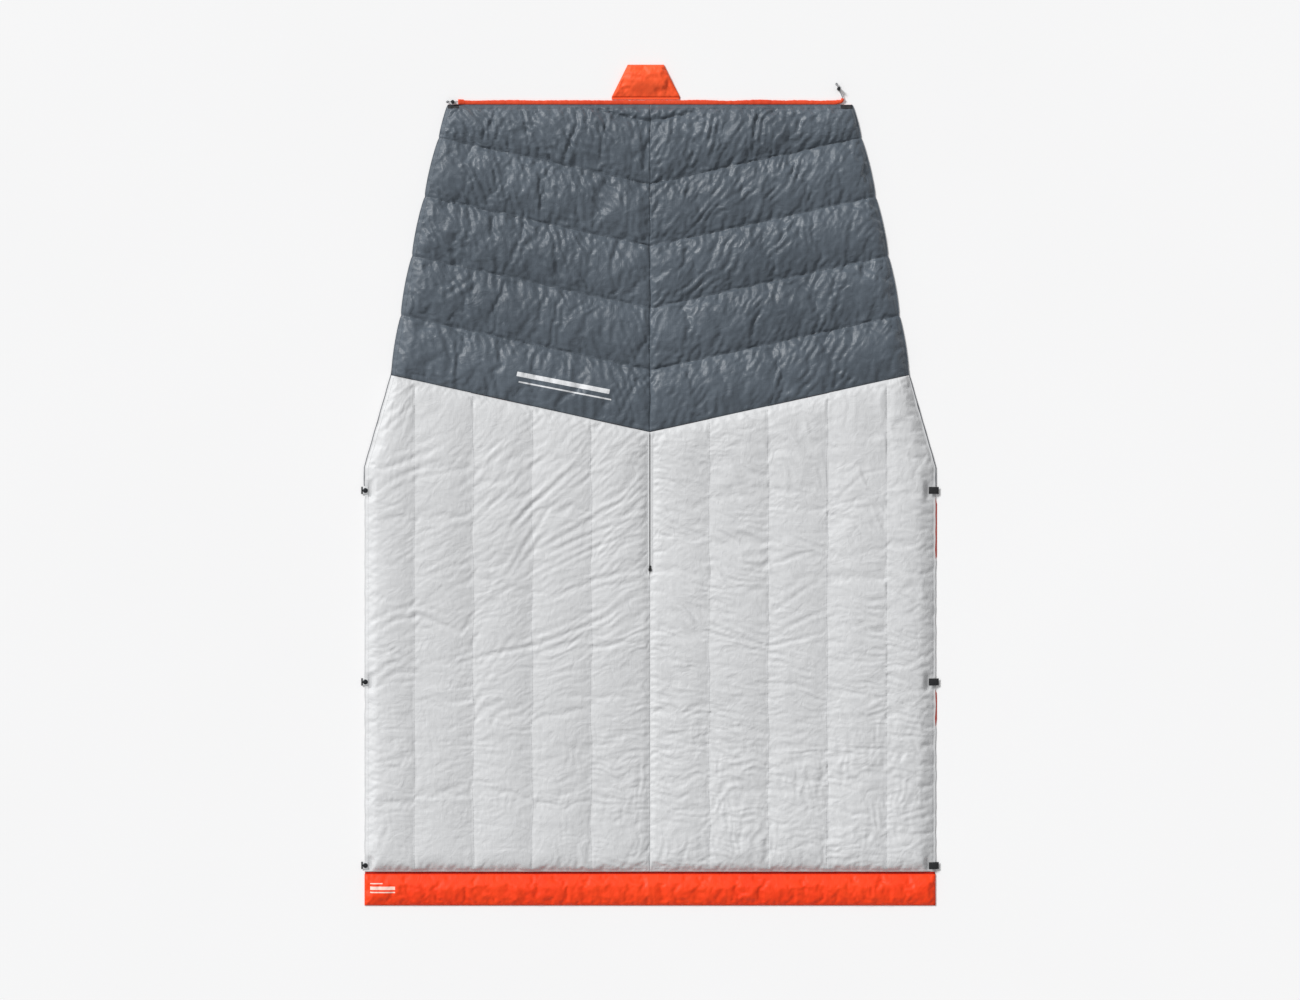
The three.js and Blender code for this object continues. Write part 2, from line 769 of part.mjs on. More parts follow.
function lockBarrel() {
  const cup = turned([
    [0, LOCK_BASE], [LOCK_RADIUS - 0.5, LOCK_BASE], [LOCK_RADIUS, LOCK_BASE + 0.5],
    [LOCK_RADIUS, LOCK_TOP - 0.5], [LOCK_RADIUS - 0.5, LOCK_TOP], [LOCK_BORE, LOCK_TOP],
    [LOCK_BORE, LOCK_BASE + LOCK_FLOOR], [0, LOCK_BASE + LOCK_FLOOR],
  ]);
  const hole = rod(CORD_HOLE, 3 * LOCK_RADIUS).rotateZ(Math.PI / 2).translate(0, 0, LOCK_CORD_Z);
  return cut(cup, hole);
}

function lockButton() {
  const shank = LOCK_BORE - 0.4;
  const body = turned([
    [0, PLUNGER_BOTTOM], [shank, PLUNGER_BOTTOM], [shank, LOCK_TOP + 2.4],
    [LOCK_BORE + 0.6, LOCK_TOP + 2.7], [LOCK_BORE + 0.6, BUTTON_TOP - 0.6],
    [LOCK_BORE - 0.4, BUTTON_TOP], [0, BUTTON_TOP],
  ]);
  const slot = block(-5, 5, -CORD_HOLE, CORD_HOLE, PLUNGER_BOTTOM + PLUNGER_BAR, SLOT_TOP);
  return cut(body, slot);
}

class SpringCurve extends THREE.Curve {
  getPoint(t, target = new THREE.Vector3()) {
    const turns = 2.25;
    const radius = 1.9;
    const angle = t * turns * 2 * Math.PI;
    const low = LOCK_BASE + LOCK_FLOOR + 0.5;
    const high = PLUNGER_BOTTOM - 0.5;
    return target.set(radius * Math.cos(angle), radius * Math.sin(angle), mix(low, high, t));
  }
}

function lockSpring() {
  const wire = 0.25;
  const section = outline([[-wire, -wire], [wire, -wire], [wire, wire], [-wire, wire]]);
  return new THREE.ExtrudeGeometry(section, {
    steps: 24,
    bevelEnabled: false,
    extrudePath: new SpringCurve(),
  });
}

// ---- snap tabs ----------------------------------------------------------------------------

function webbing(x0, x1, holeX, z0) {
  const half = TAB_WIDTH / 2;
  const strip = outline([[x0, -half], [x1, -half], [x1, half], [x0, half]]);
  const hole = new THREE.Path();
  hole.absarc(holeX, 0, SNAP_HOLE, 0, 2 * Math.PI, true);
  strip.holes.push(hole);
  return plate(strip, z0, z0 + TAB_THICK, 8);
}

// The stud faces up from z = 0, with its rivet post reaching down through the webbing.
function snapStud() {
  return turned([
    [0, -TAB_THICK], [SNAP_POST, -TAB_THICK], [SNAP_POST, 0], [SNAP_RADIUS, 0],
    [SNAP_RADIUS, 0.7], [SNAP_RADIUS - 1.2, 1.2], [2, 1.2], [2.4, 2.4], [1.8, 3], [0, 3],
  ]);
}

// The socket's ring faces down from z = 0, with its rivet post reaching up through the webbing.
function snapSocket() {
  return turned([
    [0, -1], [2.8, -1], [2.8, -2.6], [SNAP_RADIUS - 1, -2.6], [SNAP_RADIUS - 0.4, -2],
    [SNAP_RADIUS - 0.4, 0], [SNAP_POST, 0], [SNAP_POST, TAB_THICK], [0, TAB_THICK],
  ]);
}

const LEFT_TAB_Z = HEM_TOP + LAYER_GAP;
const LEFT_SNAP_X = -684;
const RIGHT_SNAP_RUN = 19;
const CONTACT = 0.3;

function addLeftTab(n, y) {
  const strip = webbing(LEFT_TAB_OUTER, LEFT_TAB_INNER, LEFT_SNAP_X, LEFT_TAB_Z);
  const tab = addPart(`side_tab_left_${n}`, strip, materials.tape);
  tab.position.y = y;
  const snap = addPart(`snap_stud_${n}`, snapStud(), materials.steel);
  snap.position.set(LEFT_SNAP_X, y, LEFT_TAB_Z + TAB_THICK + CONTACT);
}

function addRightTab(n, y) {
  const folded = new THREE.Group();
  folded.position.set(RIGHT_TAB_PIVOT_X, y, RIGHT_TAB_PIVOT_Z);
  folded.rotation.y = RIGHT_TAB_TILT;
  quilt.add(folded);
  const strip = webbing(-RIGHT_TAB_LENGTH, -RIGHT_TAB_CLEAR, -RIGHT_SNAP_RUN, 0);
  const tab = addPart(`side_tab_right_${n}`, strip, materials.tape);
  const snap = addPart(`snap_socket_${n}`, snapSocket(), materials.metal);
  snap.position.set(-RIGHT_SNAP_RUN, 0, -CONTACT);
  folded.add(tab, snap);
}

// ---- assembly -----------------------------------------------------------------------------

const HALVES = [['left', -1], ['right', 1]];

HALVES.forEach(([half, side]) => {
  addPart(`shell_foot_${half}`, shellFoot(side), materials.slate);
  addPart(`shell_body_${half}`, shellBody(side), materials.grey);
  for (let c = 0; c < BODY_CHAMBERS; c++) {
    addPart(`body_down_${half}_${c + 1}`, bodyDown(side, c), materials.down);
  }
  for (let row = 0; row < FOOT_ROWS; row++) {
    addPart(`foot_down_${half}_${row + 1}`, footDown(side, row), materials.down);
  }
  addPart(`zip_tape_${half}`, zipTape(side), materials.tape);
});

addPart('liner', linerSheet(), materials.orange);
addPart('baffle_walls', baffleLattice(), materials.mesh);
addPart('baffle_centre', baffleCentre(), materials.mesh);

addPart('zip_slider', zipSlider(), materials.metal);
addPart('zip_pull', zipPull(), materials.plastic);
addPart('zip_stop_head', zipStop(ZIP_HEAD_Y - 2), materials.metal);
addPart('zip_stop_foot', zipStop(ZIP_FOOT_Y + 2), materials.metal);

['shell', 'down', 'lining'].forEach((layer) => {
  const material = layer === 'down' ? materials.down : materials.orange;
  addPart(`collar_${layer}`, collar(layer), material);
  addPart(`flap_${layer}`, flap(layer), material);
});

addPart('foot_channel', footChannel(), materials.orange);
addPart('foot_drawcord', footDrawcord(), materials.cord);

const rightLock = rightCordPoint(RIGHT_LOCK_RUN);
const LOCKS = [
  ['left', LEFT_LOCK_X, CHANNEL_Y, 0],
  ['right', rightLock.x, rightLock.y, CORD_TURN],
];
LOCKS.forEach(([half, x, y, turn]) => {
  const pieces = [
    addPart(`cord_lock_${half}`, lockBarrel(), materials.plastic),
    addPart(`cord_lock_button_${half}`, lockButton(), materials.plastic),
    addPart(`cord_lock_spring_${half}`, lockSpring(), materials.steel),
  ];
  pieces.forEach((piece) => {
    piece.position.set(x, y, 0);
    piece.rotation.z = turn;
  });
});

TAB_STATIONS.forEach((y, n) => {
  addLeftTab(n + 1, y);
  addRightTab(n + 1, y);
});

export default quilt;
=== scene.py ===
"""Camp quilt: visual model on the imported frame. All lengths in the tables are millimetres."""
import math

import bpy
import numpy as np
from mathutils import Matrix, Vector
from mathutils.bvhtree import BVHTree


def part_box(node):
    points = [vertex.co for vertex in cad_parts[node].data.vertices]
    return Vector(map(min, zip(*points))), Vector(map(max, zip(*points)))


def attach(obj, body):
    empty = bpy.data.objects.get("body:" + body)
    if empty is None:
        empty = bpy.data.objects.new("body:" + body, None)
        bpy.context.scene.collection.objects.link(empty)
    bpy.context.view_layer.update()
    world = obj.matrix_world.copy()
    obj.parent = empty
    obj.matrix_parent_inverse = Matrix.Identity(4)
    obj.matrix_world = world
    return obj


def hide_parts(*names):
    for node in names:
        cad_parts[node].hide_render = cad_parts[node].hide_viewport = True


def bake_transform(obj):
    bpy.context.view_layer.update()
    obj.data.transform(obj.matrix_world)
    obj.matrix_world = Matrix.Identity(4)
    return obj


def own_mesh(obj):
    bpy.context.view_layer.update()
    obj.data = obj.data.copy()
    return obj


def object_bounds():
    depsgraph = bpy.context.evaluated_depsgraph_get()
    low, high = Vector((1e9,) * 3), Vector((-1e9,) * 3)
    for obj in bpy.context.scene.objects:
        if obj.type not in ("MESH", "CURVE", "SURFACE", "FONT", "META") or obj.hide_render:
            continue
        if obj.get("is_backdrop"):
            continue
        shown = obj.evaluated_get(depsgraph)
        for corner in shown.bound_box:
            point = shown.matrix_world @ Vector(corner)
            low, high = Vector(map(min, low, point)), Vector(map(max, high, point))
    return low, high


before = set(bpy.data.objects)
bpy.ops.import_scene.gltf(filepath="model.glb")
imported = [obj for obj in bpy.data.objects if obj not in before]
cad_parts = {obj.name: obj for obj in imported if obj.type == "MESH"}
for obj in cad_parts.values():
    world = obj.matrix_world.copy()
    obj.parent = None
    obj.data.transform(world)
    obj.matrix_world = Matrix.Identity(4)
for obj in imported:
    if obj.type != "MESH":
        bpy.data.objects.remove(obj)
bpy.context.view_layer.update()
MM = 0.001
scene = bpy.context.scene


def corner(node, which, axis):
    """One coordinate of a CAD node's box, in millimetres: which is 0 for low, 1 for high."""
    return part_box(node)[which][axis] / MM


# ---- sizes
HEAD_Y = corner("shell_body_left", 0, 1)
FOOT_Y = corner("shell_foot_left", 1, 1)
HEAD_HALF = corner("shell_body_right", 1, 0)
SHOULDER_HALF, FOOT_HALF, FOOT_BULGE = 622, 487, 10
WIDE_Y = 42
# chambers: upright ones each side of the body, V rows in the foot
PITCH, CHAMBERS = 141.5, 5
VEE_TIP, VEE_SLOPE, ROW_PITCH, FOOT_ROWS = 127, 0.22, 149, 5
SHOULDER_Y = VEE_TIP + VEE_SLOPE * SHOULDER_HALF
# heights over the floor; HEM is the width of the flat sewn edge
HEM, HEM_TOP, HEAD_EDGE = 2.6, 2.8, 7.6
BODY_SEAM, FOOT_SEAM, VEE_SEAM, FOOT_CROWN = 18.5, 8.5, 11, 26
FLAP_EDGE = 2.6
TOP_LIMIT = 35.5
# the slit, half the gap between its lips, and how far they lie flat beside the zip
ZIP_LOW, ZIP_HIGH = -208, 121
LIP, LIP_TOP, PLACKET = 1.0, 12.8, 7
# how far the hidden underside of a skin is drawn in from its edge
DRAW_IN, UNDER_Z, WALL_Z = 16, 5.0, 1.15
CLOTH_FRAMES, CLOTH_REACH = 20, 7


def mix(a, b, t):
    return a + (b - a) * t


def smooth(t):
    t = np.clip(t, 0, 1)
    return t * t * (3 - 2 * t)


def half_width(y):
    """Half the quilt's width at y."""
    y = np.asarray(y, float)
    neck = mix(HEAD_HALF, SHOULDER_HALF, np.clip((y - WIDE_Y) / (SHOULDER_Y - WIDE_Y), 0, 1))
    t = np.clip((y - SHOULDER_Y) / (FOOT_Y - SHOULDER_Y), 0, 1)
    foot = mix(SHOULDER_HALF, FOOT_HALF, t) + FOOT_BULGE * 4 * t * (1 - t)
    return np.where(y < SHOULDER_Y, neck, foot)


def vee(row, x):
    """The height along Y of V seam number row at x."""
    return VEE_TIP + ROW_PITCH * row + VEE_SLOPE * np.abs(x)


# ---- camera, looking straight down
camera = bpy.data.objects.new("camera", bpy.data.cameras.new("camera"))
camera.data.lens = 100
camera.data.clip_end = 40
camera.location = (0, -0.036, 8.68)
scene.collection.objects.link(camera)
scene.camera = camera
scene.view_settings.view_transform = "Standard"


# ---- noise and creases
def noise2(x, y, size, seed, stretch=1.0, turn=0.0):
    """Seeded smooth noise from -1 to 1. Features are size across and size * stretch long."""
    rng = np.random.default_rng(seed)
    angle = rng.uniform(0, 2 * math.pi, (61, 67))
    c, s = math.cos(turn), math.sin(turn)
    u = (x * c + y * s) / size
    v = (-x * s + y * c) / (size * stretch)
    i, j = np.floor(u).astype(int), np.floor(v).astype(int)
    fu, fv = u - i, v - j
    su = fu ** 3 * (fu * (fu * 6 - 15) + 10)
    sv = fv ** 3 * (fv * (fv * 6 - 15) + 10)

    def grad(di, dj):
        a = angle[(i + di) % 61, (j + dj) % 67]
        return np.cos(a) * (fu - di) + np.sin(a) * (fv - dj)

    low = mix(grad(0, 0), grad(1, 0), su)
    high = mix(grad(0, 1), grad(1, 1), su)
    return 1.5 * mix(low, high, sv)


def ridged(x, y, size, seed, stretch=1.0, turn=0.0):
    """Noise with sharp ridges, as in crumpled nylon."""
    wx = x + size * 0.6 * noise2(x, y, size * 2.2, seed + 50)
    wy = y + size * 0.6 * noise2(x, y, size * 2.2, seed + 51)
    return 0.5 - np.abs(noise2(wx, wy, size, seed, stretch, turn)) * 1.6


def crease(x, y, line, depth, width):
    """A soft fold along a line of points: a valley with a ridge on its upper side."""
    pts = np.array(line, float)
    seg = np.diff(pts, axis=0)
    length = np.hypot(seg[:, 0], seg[:, 1])
    start = np.concatenate([[0], np.cumsum(length)])
    low, high = pts.min(0) - 5 * width, pts.max(0) + 5 * width
    near = (x > low[0]) & (x < high[0]) & (y > low[1]) & (y < high[1])
    out = np.zeros_like(x)
    if not near.any():
        return out
    px, py = x[near], y[near]
    best = np.full(px.shape, 1e9)
    side = np.zeros_like(px)
    along = np.zeros_like(px)
    for k in range(len(seg)):
        d = seg[k] / length[k]
        rx, ry = px - pts[k, 0], py - pts[k, 1]
        t = np.clip(rx * d[0] + ry * d[1], 0, length[k])
        gap = np.hypot(rx - t * d[0], ry - t * d[1])
        hit = gap < best
        best = np.where(hit, gap, best)
        side = np.where(hit, np.sign(d[0] * ry - d[1] * rx) * gap, side)
        along = np.where(hit, (start[k] + t) / start[-1], along)
    s = np.where(seg[:, 0].sum() < 0, -side, side) / width
    fade = np.clip(np.sin(math.pi * np.clip(along, 0.02, 0.98)), 0, 1) ** 0.7
    shape = -np.cos(1.45 * s) * np.exp(-np.abs(s) / 2.6)
    shape = shape + 0.35 * np.exp(-((s - 2.1) / 1.1) ** 2)
    out[near] = depth * fade * shape
    return out


# depth, width and points of the body's longest folds
FOLDS = [
    (2.6, 8, [(-135, 101), (-220, 6), (-300, -64), (-420, -194)]),
    (3.4, 9, [(-150, 66), (-290, -54), (-400, -204)]),
    (3.4, 8, [(-120, 36), (-240, -54), (-280, -114), (-420, -344)]),
    (3.0, 8, [(-20, -14), (-160, -94), (-280, -164)]),
    (2.4, 7, [(-5, -74), (-120, -109), (-270, -174)]),
    (3.4, 6, [(-8, -104), (-140, -154), (-280, -224)]),
    (2.6, 8, [(-5, -194), (-120, -224), (-270, -284)]),
    (3.0, 8, [(-10, -244), (-120, -324), (-270, -384), (-420, -414)]),
    (2.4, 9, [(-20, -374), (-160, -394), (-290, -444)]),
    (2.4, 9, [(-180, 130), (-300, 30), (-420, -90), (-470, -190)]),
    (2.2, 9, [(-280, 130), (-380, 60), (-470, -20)]),
    (2.6, 9, [(-200, -60), (-310, -190), (-400, -330), (-470, -480)]),
    (2.2, 8, [(-290, -300), (-380, -440), (-430, -560)]),
    (2.2, 8, [(-560, 205), (-640, 130), (-680, 60)]),
    (2.0, 9, [(-440, 130), (-560, 70), (-660, 30)]),
    (2.2, 9, [(-500, 60), (-600, 20), (-670, -20)]),
    (3.2, 7, [(2, -204), (80, -284), (140, -334), (280, -389), (420, -354)]),
    (2.6, 7, [(2, -234), (70, -304), (130, -349), (270, -389)]),
    (2.8, 6, [(2, -64), (60, -94), (130, -124)]),
    (2.6, 8, [(280, -364), (420, -299)]),
    (2.4, 9, [(280, -314), (410, -224)]),
    (2.2, 9, [(290, -194), (390, -154)]),
    (2.2, 9, [(440, -44), (520, 36)]),
    (2.0, 9, [(140, 26), (160, 76)]),
    (2.2, 9, [(150, -100), (250, -160), (280, -230)]),
    (3.2, 9, [(-680, -364), (-610, -324), (-550, -314), (-430, -364)]),
    (2.8, 9, [(-650, -384), (-570, -424), (-560, -404)]),
    (2.6, 9, [(-680, -474), (-620, -424), (-570, -424)]),
    (2.4, 9, [(-550, -414), (-470, -499)]),
    (2.6, 9, [(-400, -624), (-370, -554), (-330, -524)]),
    (2.6, 8, [(415, -914), (410, -834)]),
    (2.2, 8, [(-150, -914), (-145, -834)]),
    (2.4, 8, [(130, -914), (120, -774)]),
    (2.6, 9, [(280, -914), (270, -784)]),
    (2.2, 9, [(-60, -914), (-10, -804)]),
    (2.4, 10, [(600, -120), (640, -260), (620, -400)]),
    (2.2, 10, [(640, -520), (600, -640), (630, -760)]),
    (2.0, 9, [(470, -560), (540, -640), (560, -760)]),
    (2.0, 9, [(180, -560), (240, -640), (230, -760)]),
]


def scatter(z, x, y, seed, count, xs, ys, lean, reach, bend, sag, depth, width):
    """Adds small folds strewn over an area to z. lean gives each one's direction in degrees."""
    rng = np.random.default_rng(seed)
    for _ in range(count):
        cx, cy = rng.uniform(*xs), rng.uniform(*ys)
        turn = math.radians(lean(rng, cx, cy))
        half = rng.uniform(*reach)
        dx, dy = half * math.cos(turn), half * math.sin(turn)
        off = rng.uniform(-bend, bend)
        line = [(cx - dx, cy - dy), (cx + off, cy - sag * off), (cx + dx, cy + dy)]
        z += crease(x, y, line, rng.uniform(*depth), rng.uniform(*width))


def body_lean(rng, cx, cy):
    """Folds fan out from the zip, and run upright near the head."""
    lean = rng.normal(38 if cx < 0 else -38, 24)
    return rng.normal(85, 30) if cy < -560 else lean


def body_folds(x, y):
    """The long folds of the body and a scatter of small ones that run the same way."""
    z = np.zeros_like(x)
    for depth, width, line in FOLDS:
        z += crease(x, y, line, 0.9 * depth, 0.72 * width)
    scatter(z, x, y, 7, 170, (-640, 640), (-880, 180), body_lean, (25, 80), 8, 1, (0.4, 1.1),
            (3.5, 6))
    return z


def foot_folds(x, y):
    """Long slanted folds across the slate rows."""
    z = np.zeros_like(x)
    scatter(z, x, y, 11, 240, (-520, 520), (200, 900),
            lambda rng, cx, cy: rng.normal(104 if cx < 0 else 62, 22), (18, 68), 7, 0, (1.0, 2.8),
            (3.2, 6))
    return z


def drifting(x, y, size, seed):
    """Where wrinkles gather: 0 in calm places, 1 in busy ones."""
    return smooth(0.5 + 0.85 * noise2(x, y, size, seed))


def body_wrinkles(x, y):
    """Fine parallel wrinkles that fan out from the zip and stop at each seam."""
    away = np.abs(x)
    left = np.interp(y, [-929, -650, -350, 0, 260], [-0.12, 0.05, 0.5, 0.85, 0.6])
    right = np.interp(y, [-929, -650, -350, 0, 260], [0.10, 0.12, 0.42, 0.3, -0.1])
    slope = np.where(x < 0, left, right)
    chamber = np.floor(away / PITCH)
    across = y + slope * away + 37.3 * chamber + 22 * noise2(x, y, 90, 301)
    along = away + 61.7 * chamber
    fine = ridged(across, along, 11.5, 302, 6.5) * (0.3 + 0.7 * drifting(x, y, 110, 303))
    wide = ridged(across, along, 22, 304, 5) * (0.25 + 0.75 * drifting(x, y, 160, 305))
    upright = ridged(x, y, 19, 306, 3.5) * drifting(x, y, 130, 307) * smooth((-y - 480) / 220)
    busy = 1 + 0.9 * smooth((x + 260) / 340)
    return busy * (0.9 * fine + 1.4 * wide + upright)


def foot_wrinkles(x, y):
    """Wrinkles across the rows, longest below each seam, and messy towards the upper left."""
    lean = np.where(x < 0, math.radians(108), math.radians(66))
    row = np.floor((y - vee(0, x)) / ROW_PITCH)
    below = ((y - vee(0, x)) / ROW_PITCH) % 1
    across = x * np.sin(lean) - y * np.cos(lean) + 31.9 * row
    along = x * np.cos(lean) + y * np.sin(lean)
    fine = ridged(across, along, 9, 321, 8) * (0.4 + 0.6 * drifting(x, y, 90, 322))
    wide = ridged(across, along, 19, 323, 5.5) * (0.3 + 0.7 * drifting(x, y, 120, 324))
    mess = smooth((y - 0.55 * x - 500) / 320)
    blobs = ridged(x, y, 24, 325, 1.8, 0.7) * (0.15 + 0.9 * mess)
    near = 0.45 + 0.75 * smooth((below - 0.45) / 0.4)
    return 3.0 * near * fine + 4.0 * wide * (0.7 + 0.5 * mess) + 2.8 * blobs


# ---- mesh helpers
def add_mesh(name, points, faces, *materials):
    """A smooth mesh object from points in millimetres."""
    mesh = bpy.data.meshes.new(name)
    mesh.from_pydata((np.asarray(points, float) * MM).tolist(), [], faces)
    mesh.update()
    mesh.polygons.foreach_set("use_smooth", [True] * len(mesh.polygons))
    for m in materials:
        mesh.materials.append(m)
    ob = bpy.data.objects.new(name, mesh)
    scene.collection.objects.link(ob)
    return ob


def recolour(material, *nodes):
    """Gives CAD nodes that stay in view a material of their own."""
    for node in nodes:
        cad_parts[node].data.materials.clear()
        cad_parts[node].data.materials.append(material)


def grid_faces(rows, cols, start=0):
    """Quads of a grid of rows x cols points, in row order, facing up when x and y both grow."""
    a = start + np.arange(rows - 1)[:, None] * cols + np.arange(cols - 1)[None, :]
    quads = np.stack([a, a + 1, a + cols + 1, a + cols], -1)
    return quads.reshape(-1, 4).tolist()


def rim(rows, cols):
    """The border points of a grid, in order, once round against the clock."""
    low = np.arange(cols)
    right = np.arange(1, rows) * cols + cols - 1
    top = (rows - 1) * cols + np.arange(cols - 2, -1, -1)
    left = np.arange(rows - 2, 0, -1) * cols
    return np.concatenate([low, right, top, left])


def puff(grid, pins, grow):
    """Cloth under light pressure, held where it is sewn. Growing it leaves puckers."""
    points, pins = grid.reshape(-1, 3), pins.reshape(-1)
    ob = add_mesh("skin", points, grid_faces(*grid.shape[:2]))
    group = ob.vertex_groups.new(name="sewn")
    for weight in np.unique(pins[pins > 0]):
        group.add(np.flatnonzero(pins == weight).tolist(), float(weight), "REPLACE")
    cloth = ob.modifiers.new("cloth", "CLOTH")
    s = cloth.settings
    s.quality, s.mass = 5, 0.3
    s.tension_stiffness = s.compression_stiffness = 15
    s.shear_stiffness, s.bending_stiffness, s.bending_model = 5, 0.05, "ANGULAR"
    s.tension_damping = s.compression_damping = s.shear_damping = 5
    s.bending_damping, s.air_damping = 0.5, 1
    s.use_pressure, s.uniform_pressure_force = True, 4
    s.vertex_group_mass, s.pin_stiffness = "sewn", 1
    s.shrink_min = -grow
    s.effector_weights.gravity = 0
    cloth.collision_settings.use_collision = False
    cloth.point_cache.frame_start, cloth.point_cache.frame_end = 1, CLOTH_FRAMES
    for f in range(1, CLOTH_FRAMES + 1):
        scene.frame_set(f)
    evaluated = ob.evaluated_get(bpy.context.evaluated_depsgraph_get())
    result = np.zeros(len(points) * 3, np.float32)
    evaluated.to_mesh().vertices.foreach_get("co", result)
    evaluated.to_mesh_clear()
    scene.frame_set(1)
    bpy.data.objects.remove(ob)
    moved = result.reshape(-1, 3) / MM - points
    far = np.linalg.norm(moved[:, :2], axis=1)
    moved[:, :2] *= np.minimum(1, CLOTH_REACH / np.maximum(far, 1e-6))[:, None]
    return (points + moved).reshape(grid.shape)


def soft_top(z):
    """Rounds off what would stand above the limit."""
    knee = TOP_LIMIT - 5
    over = np.maximum(z - knee, 0)
    return np.where(z > knee, knee + 5 * np.tanh(over / 5), z)


def double(a):
    """Twice as many rows, smooth inside and true at both ends."""
    out = np.zeros((2 * len(a) - 1,) + a.shape[1:])
    mid = (a[1:] + a[:-1]) / 2
    mid[1:-1] = (9 * (a[1:-2] + a[2:-1]) - (a[:-3] + a[3:])) / 16
    out[0::2], out[1::2] = a, mid
    return out


def refine(grid):
    """One subdivision of a grid of points, or of a mask over them."""
    if grid.ndim == 2:
        return refine(grid[..., None])[..., 0].clip(0, 1)
    return double(double(grid).transpose(1, 0, 2)).transpose(1, 0, 2)


def close_below(grid, rings):
    """Adds walls and a floor to a grid skin, ring under ring, so that it is one closed form."""
    rows, cols = grid.shape[:2]
    previous = rim(rows, cols)
    n, count = len(previous), rows * cols
    faces = grid_faces(rows, cols)
    for _ in rings:
        current = count + np.arange(n)
        for k in range(n):
            m = (k + 1) % n
            faces.append([int(previous[m]), int(previous[k]), int(current[k]), int(current[m])])
        previous = current
        count += n
    faces.append([int(v) for v in previous[::-1]])
    return np.concatenate([grid.reshape(-1, 3), *rings]), faces


def border_of(grid):
    return grid.reshape(-1, 3)[rim(*grid.shape[:2])]


# ---- procedural materials
def linear(rgb):
    """sRGB 0-255 to linear RGBA."""
    return tuple(((c / 255 + 0.055) / 1.055) ** 2.4 if c > 10 else c / 255 / 12.92
                 for c in rgb) + (1,)


class Nodes:
    """A small builder for one material's node tree."""

    def __init__(self, name):
        self.material = bpy.data.materials.new(name)
        self.material.use_nodes = True
        self.tree = self.material.node_tree
        self.shader = self.tree.nodes["Principled BSDF"]
        self.place = self.add("ShaderNodeTexCoord").outputs["Object"]

    def add(self, kind, **values):
        node = self.tree.nodes.new(kind)
        for key, value in values.items():
            setattr(node, key, value)
        return node

    def link(self, a, b):
        self.tree.links.new(a, b)

    def put(self, socket, value):
        """Sets a constant on a socket, or links another node's output to it."""
        if isinstance(value, (int, float, tuple)):
            socket.default_value = value
        else:
            self.link(value, socket)

    def math(self, operation, a, b=None, clamp=False):
        node = self.add("ShaderNodeMath", operation=operation, use_clamp=clamp)
        for socket, value in zip(node.inputs, (a, b)):
            if value is not None:
                self.put(socket, value)
        return node.outputs[0]

    def noise(self, scale, detail=3, distortion=0.0, place=None):
        node = self.add("ShaderNodeTexNoise")
        node.inputs["Scale"].default_value = scale
        node.inputs["Detail"].default_value = detail
        node.inputs["Distortion"].default_value = distortion
        self.link(place or self.place, node.inputs["Vector"])
        return node.outputs["Fac"]

    def stretched(self, scale, turn=0.0):
        node = self.add("ShaderNodeMapping")
        node.inputs["Scale"].default_value = scale
        node.inputs["Rotation"].default_value = (0, 0, turn)
        self.link(self.place, node.inputs["Vector"])
        return node.outputs["Vector"]

    def blend(self, a, b, factor):
        node = self.add("ShaderNodeMix", data_type="RGBA", blend_type="MIX")
        for socket, value in ((node.inputs["Factor"], factor), (node.inputs[6], a),
                              (node.inputs[7], b)):
            self.put(socket, value)
        return node.outputs[2]

    def tint(self, base, rgb, mask, amount):
        """Mixes a colour into the base where the mask is high."""
        return self.blend(base, linear(rgb), self.math("MULTIPLY", mask, amount))

    def spread(self, value, low, high, out_low=0.0, out_high=1.0):
        node = self.add("ShaderNodeMapRange")
        self.link(value, node.inputs["Value"])
        for key, v in zip(("From Min", "From Max", "To Min", "To Max"),
                          (low, high, out_low, out_high)):
            node.inputs[key].default_value = v
        return node.outputs["Result"]

    def bump(self, height, strength, distance, below=None):
        node = self.add("ShaderNodeBump")
        node.inputs["Strength"].default_value = strength
        node.inputs["Distance"].default_value = distance
        self.link(height, node.inputs["Height"])
        if below is not None:
            self.link(below, node.inputs["Normal"])
        return node.outputs["Normal"]

    def threads(self, pitch, sharp=1.0, turn=0.0):
        """Crossed threads: 0 between them, 1 on top, pitch apart in metres."""
        split = self.add("ShaderNodeSeparateXYZ")
        self.link(self.stretched((1, 1, 1), turn) if turn else self.place, split.inputs[0])
        waves = []
        for axis in (0, 1):
            turned = self.math("MULTIPLY", split.outputs[axis], 2 * math.pi / pitch)
            waves.append(self.spread(self.math("SINE", turned), -1, 1))
        return self.math("POWER", self.math("MAXIMUM", *waves), sharp)

    def bar(self, centre, size, turn=0.0):
        """1 inside a plain rectangle on the fabric, 0 outside."""
        shift = self.add("ShaderNodeVectorMath", operation="SUBTRACT")
        self.link(self.place, shift.inputs[0])
        shift.inputs[1].default_value = (centre[0] * MM, centre[1] * MM, 0)
        rotate = self.add("ShaderNodeVectorRotate", rotation_type="Z_AXIS")
        rotate.inputs["Angle"].default_value = turn
        self.link(shift.outputs[0], rotate.inputs["Vector"])
        split = self.add("ShaderNodeSeparateXYZ")
        self.link(rotate.outputs[0], split.inputs[0])
        inside = []
        for axis in (0, 1):
            away = self.math("ABSOLUTE", split.outputs[axis])
            inside.append(self.math("LESS_THAN", away, size[axis] / 2 * MM))
        return self.math("MULTIPLY", *inside)

    def finish(self, colour, normal, **sockets):
        self.link(colour, self.shader.inputs["Base Color"])
        self.link(normal, self.shader.inputs["Normal"])
        for key, value in sockets.items():
            self.put(self.shader.inputs[key.replace("_", " ")], value)
        return self.material


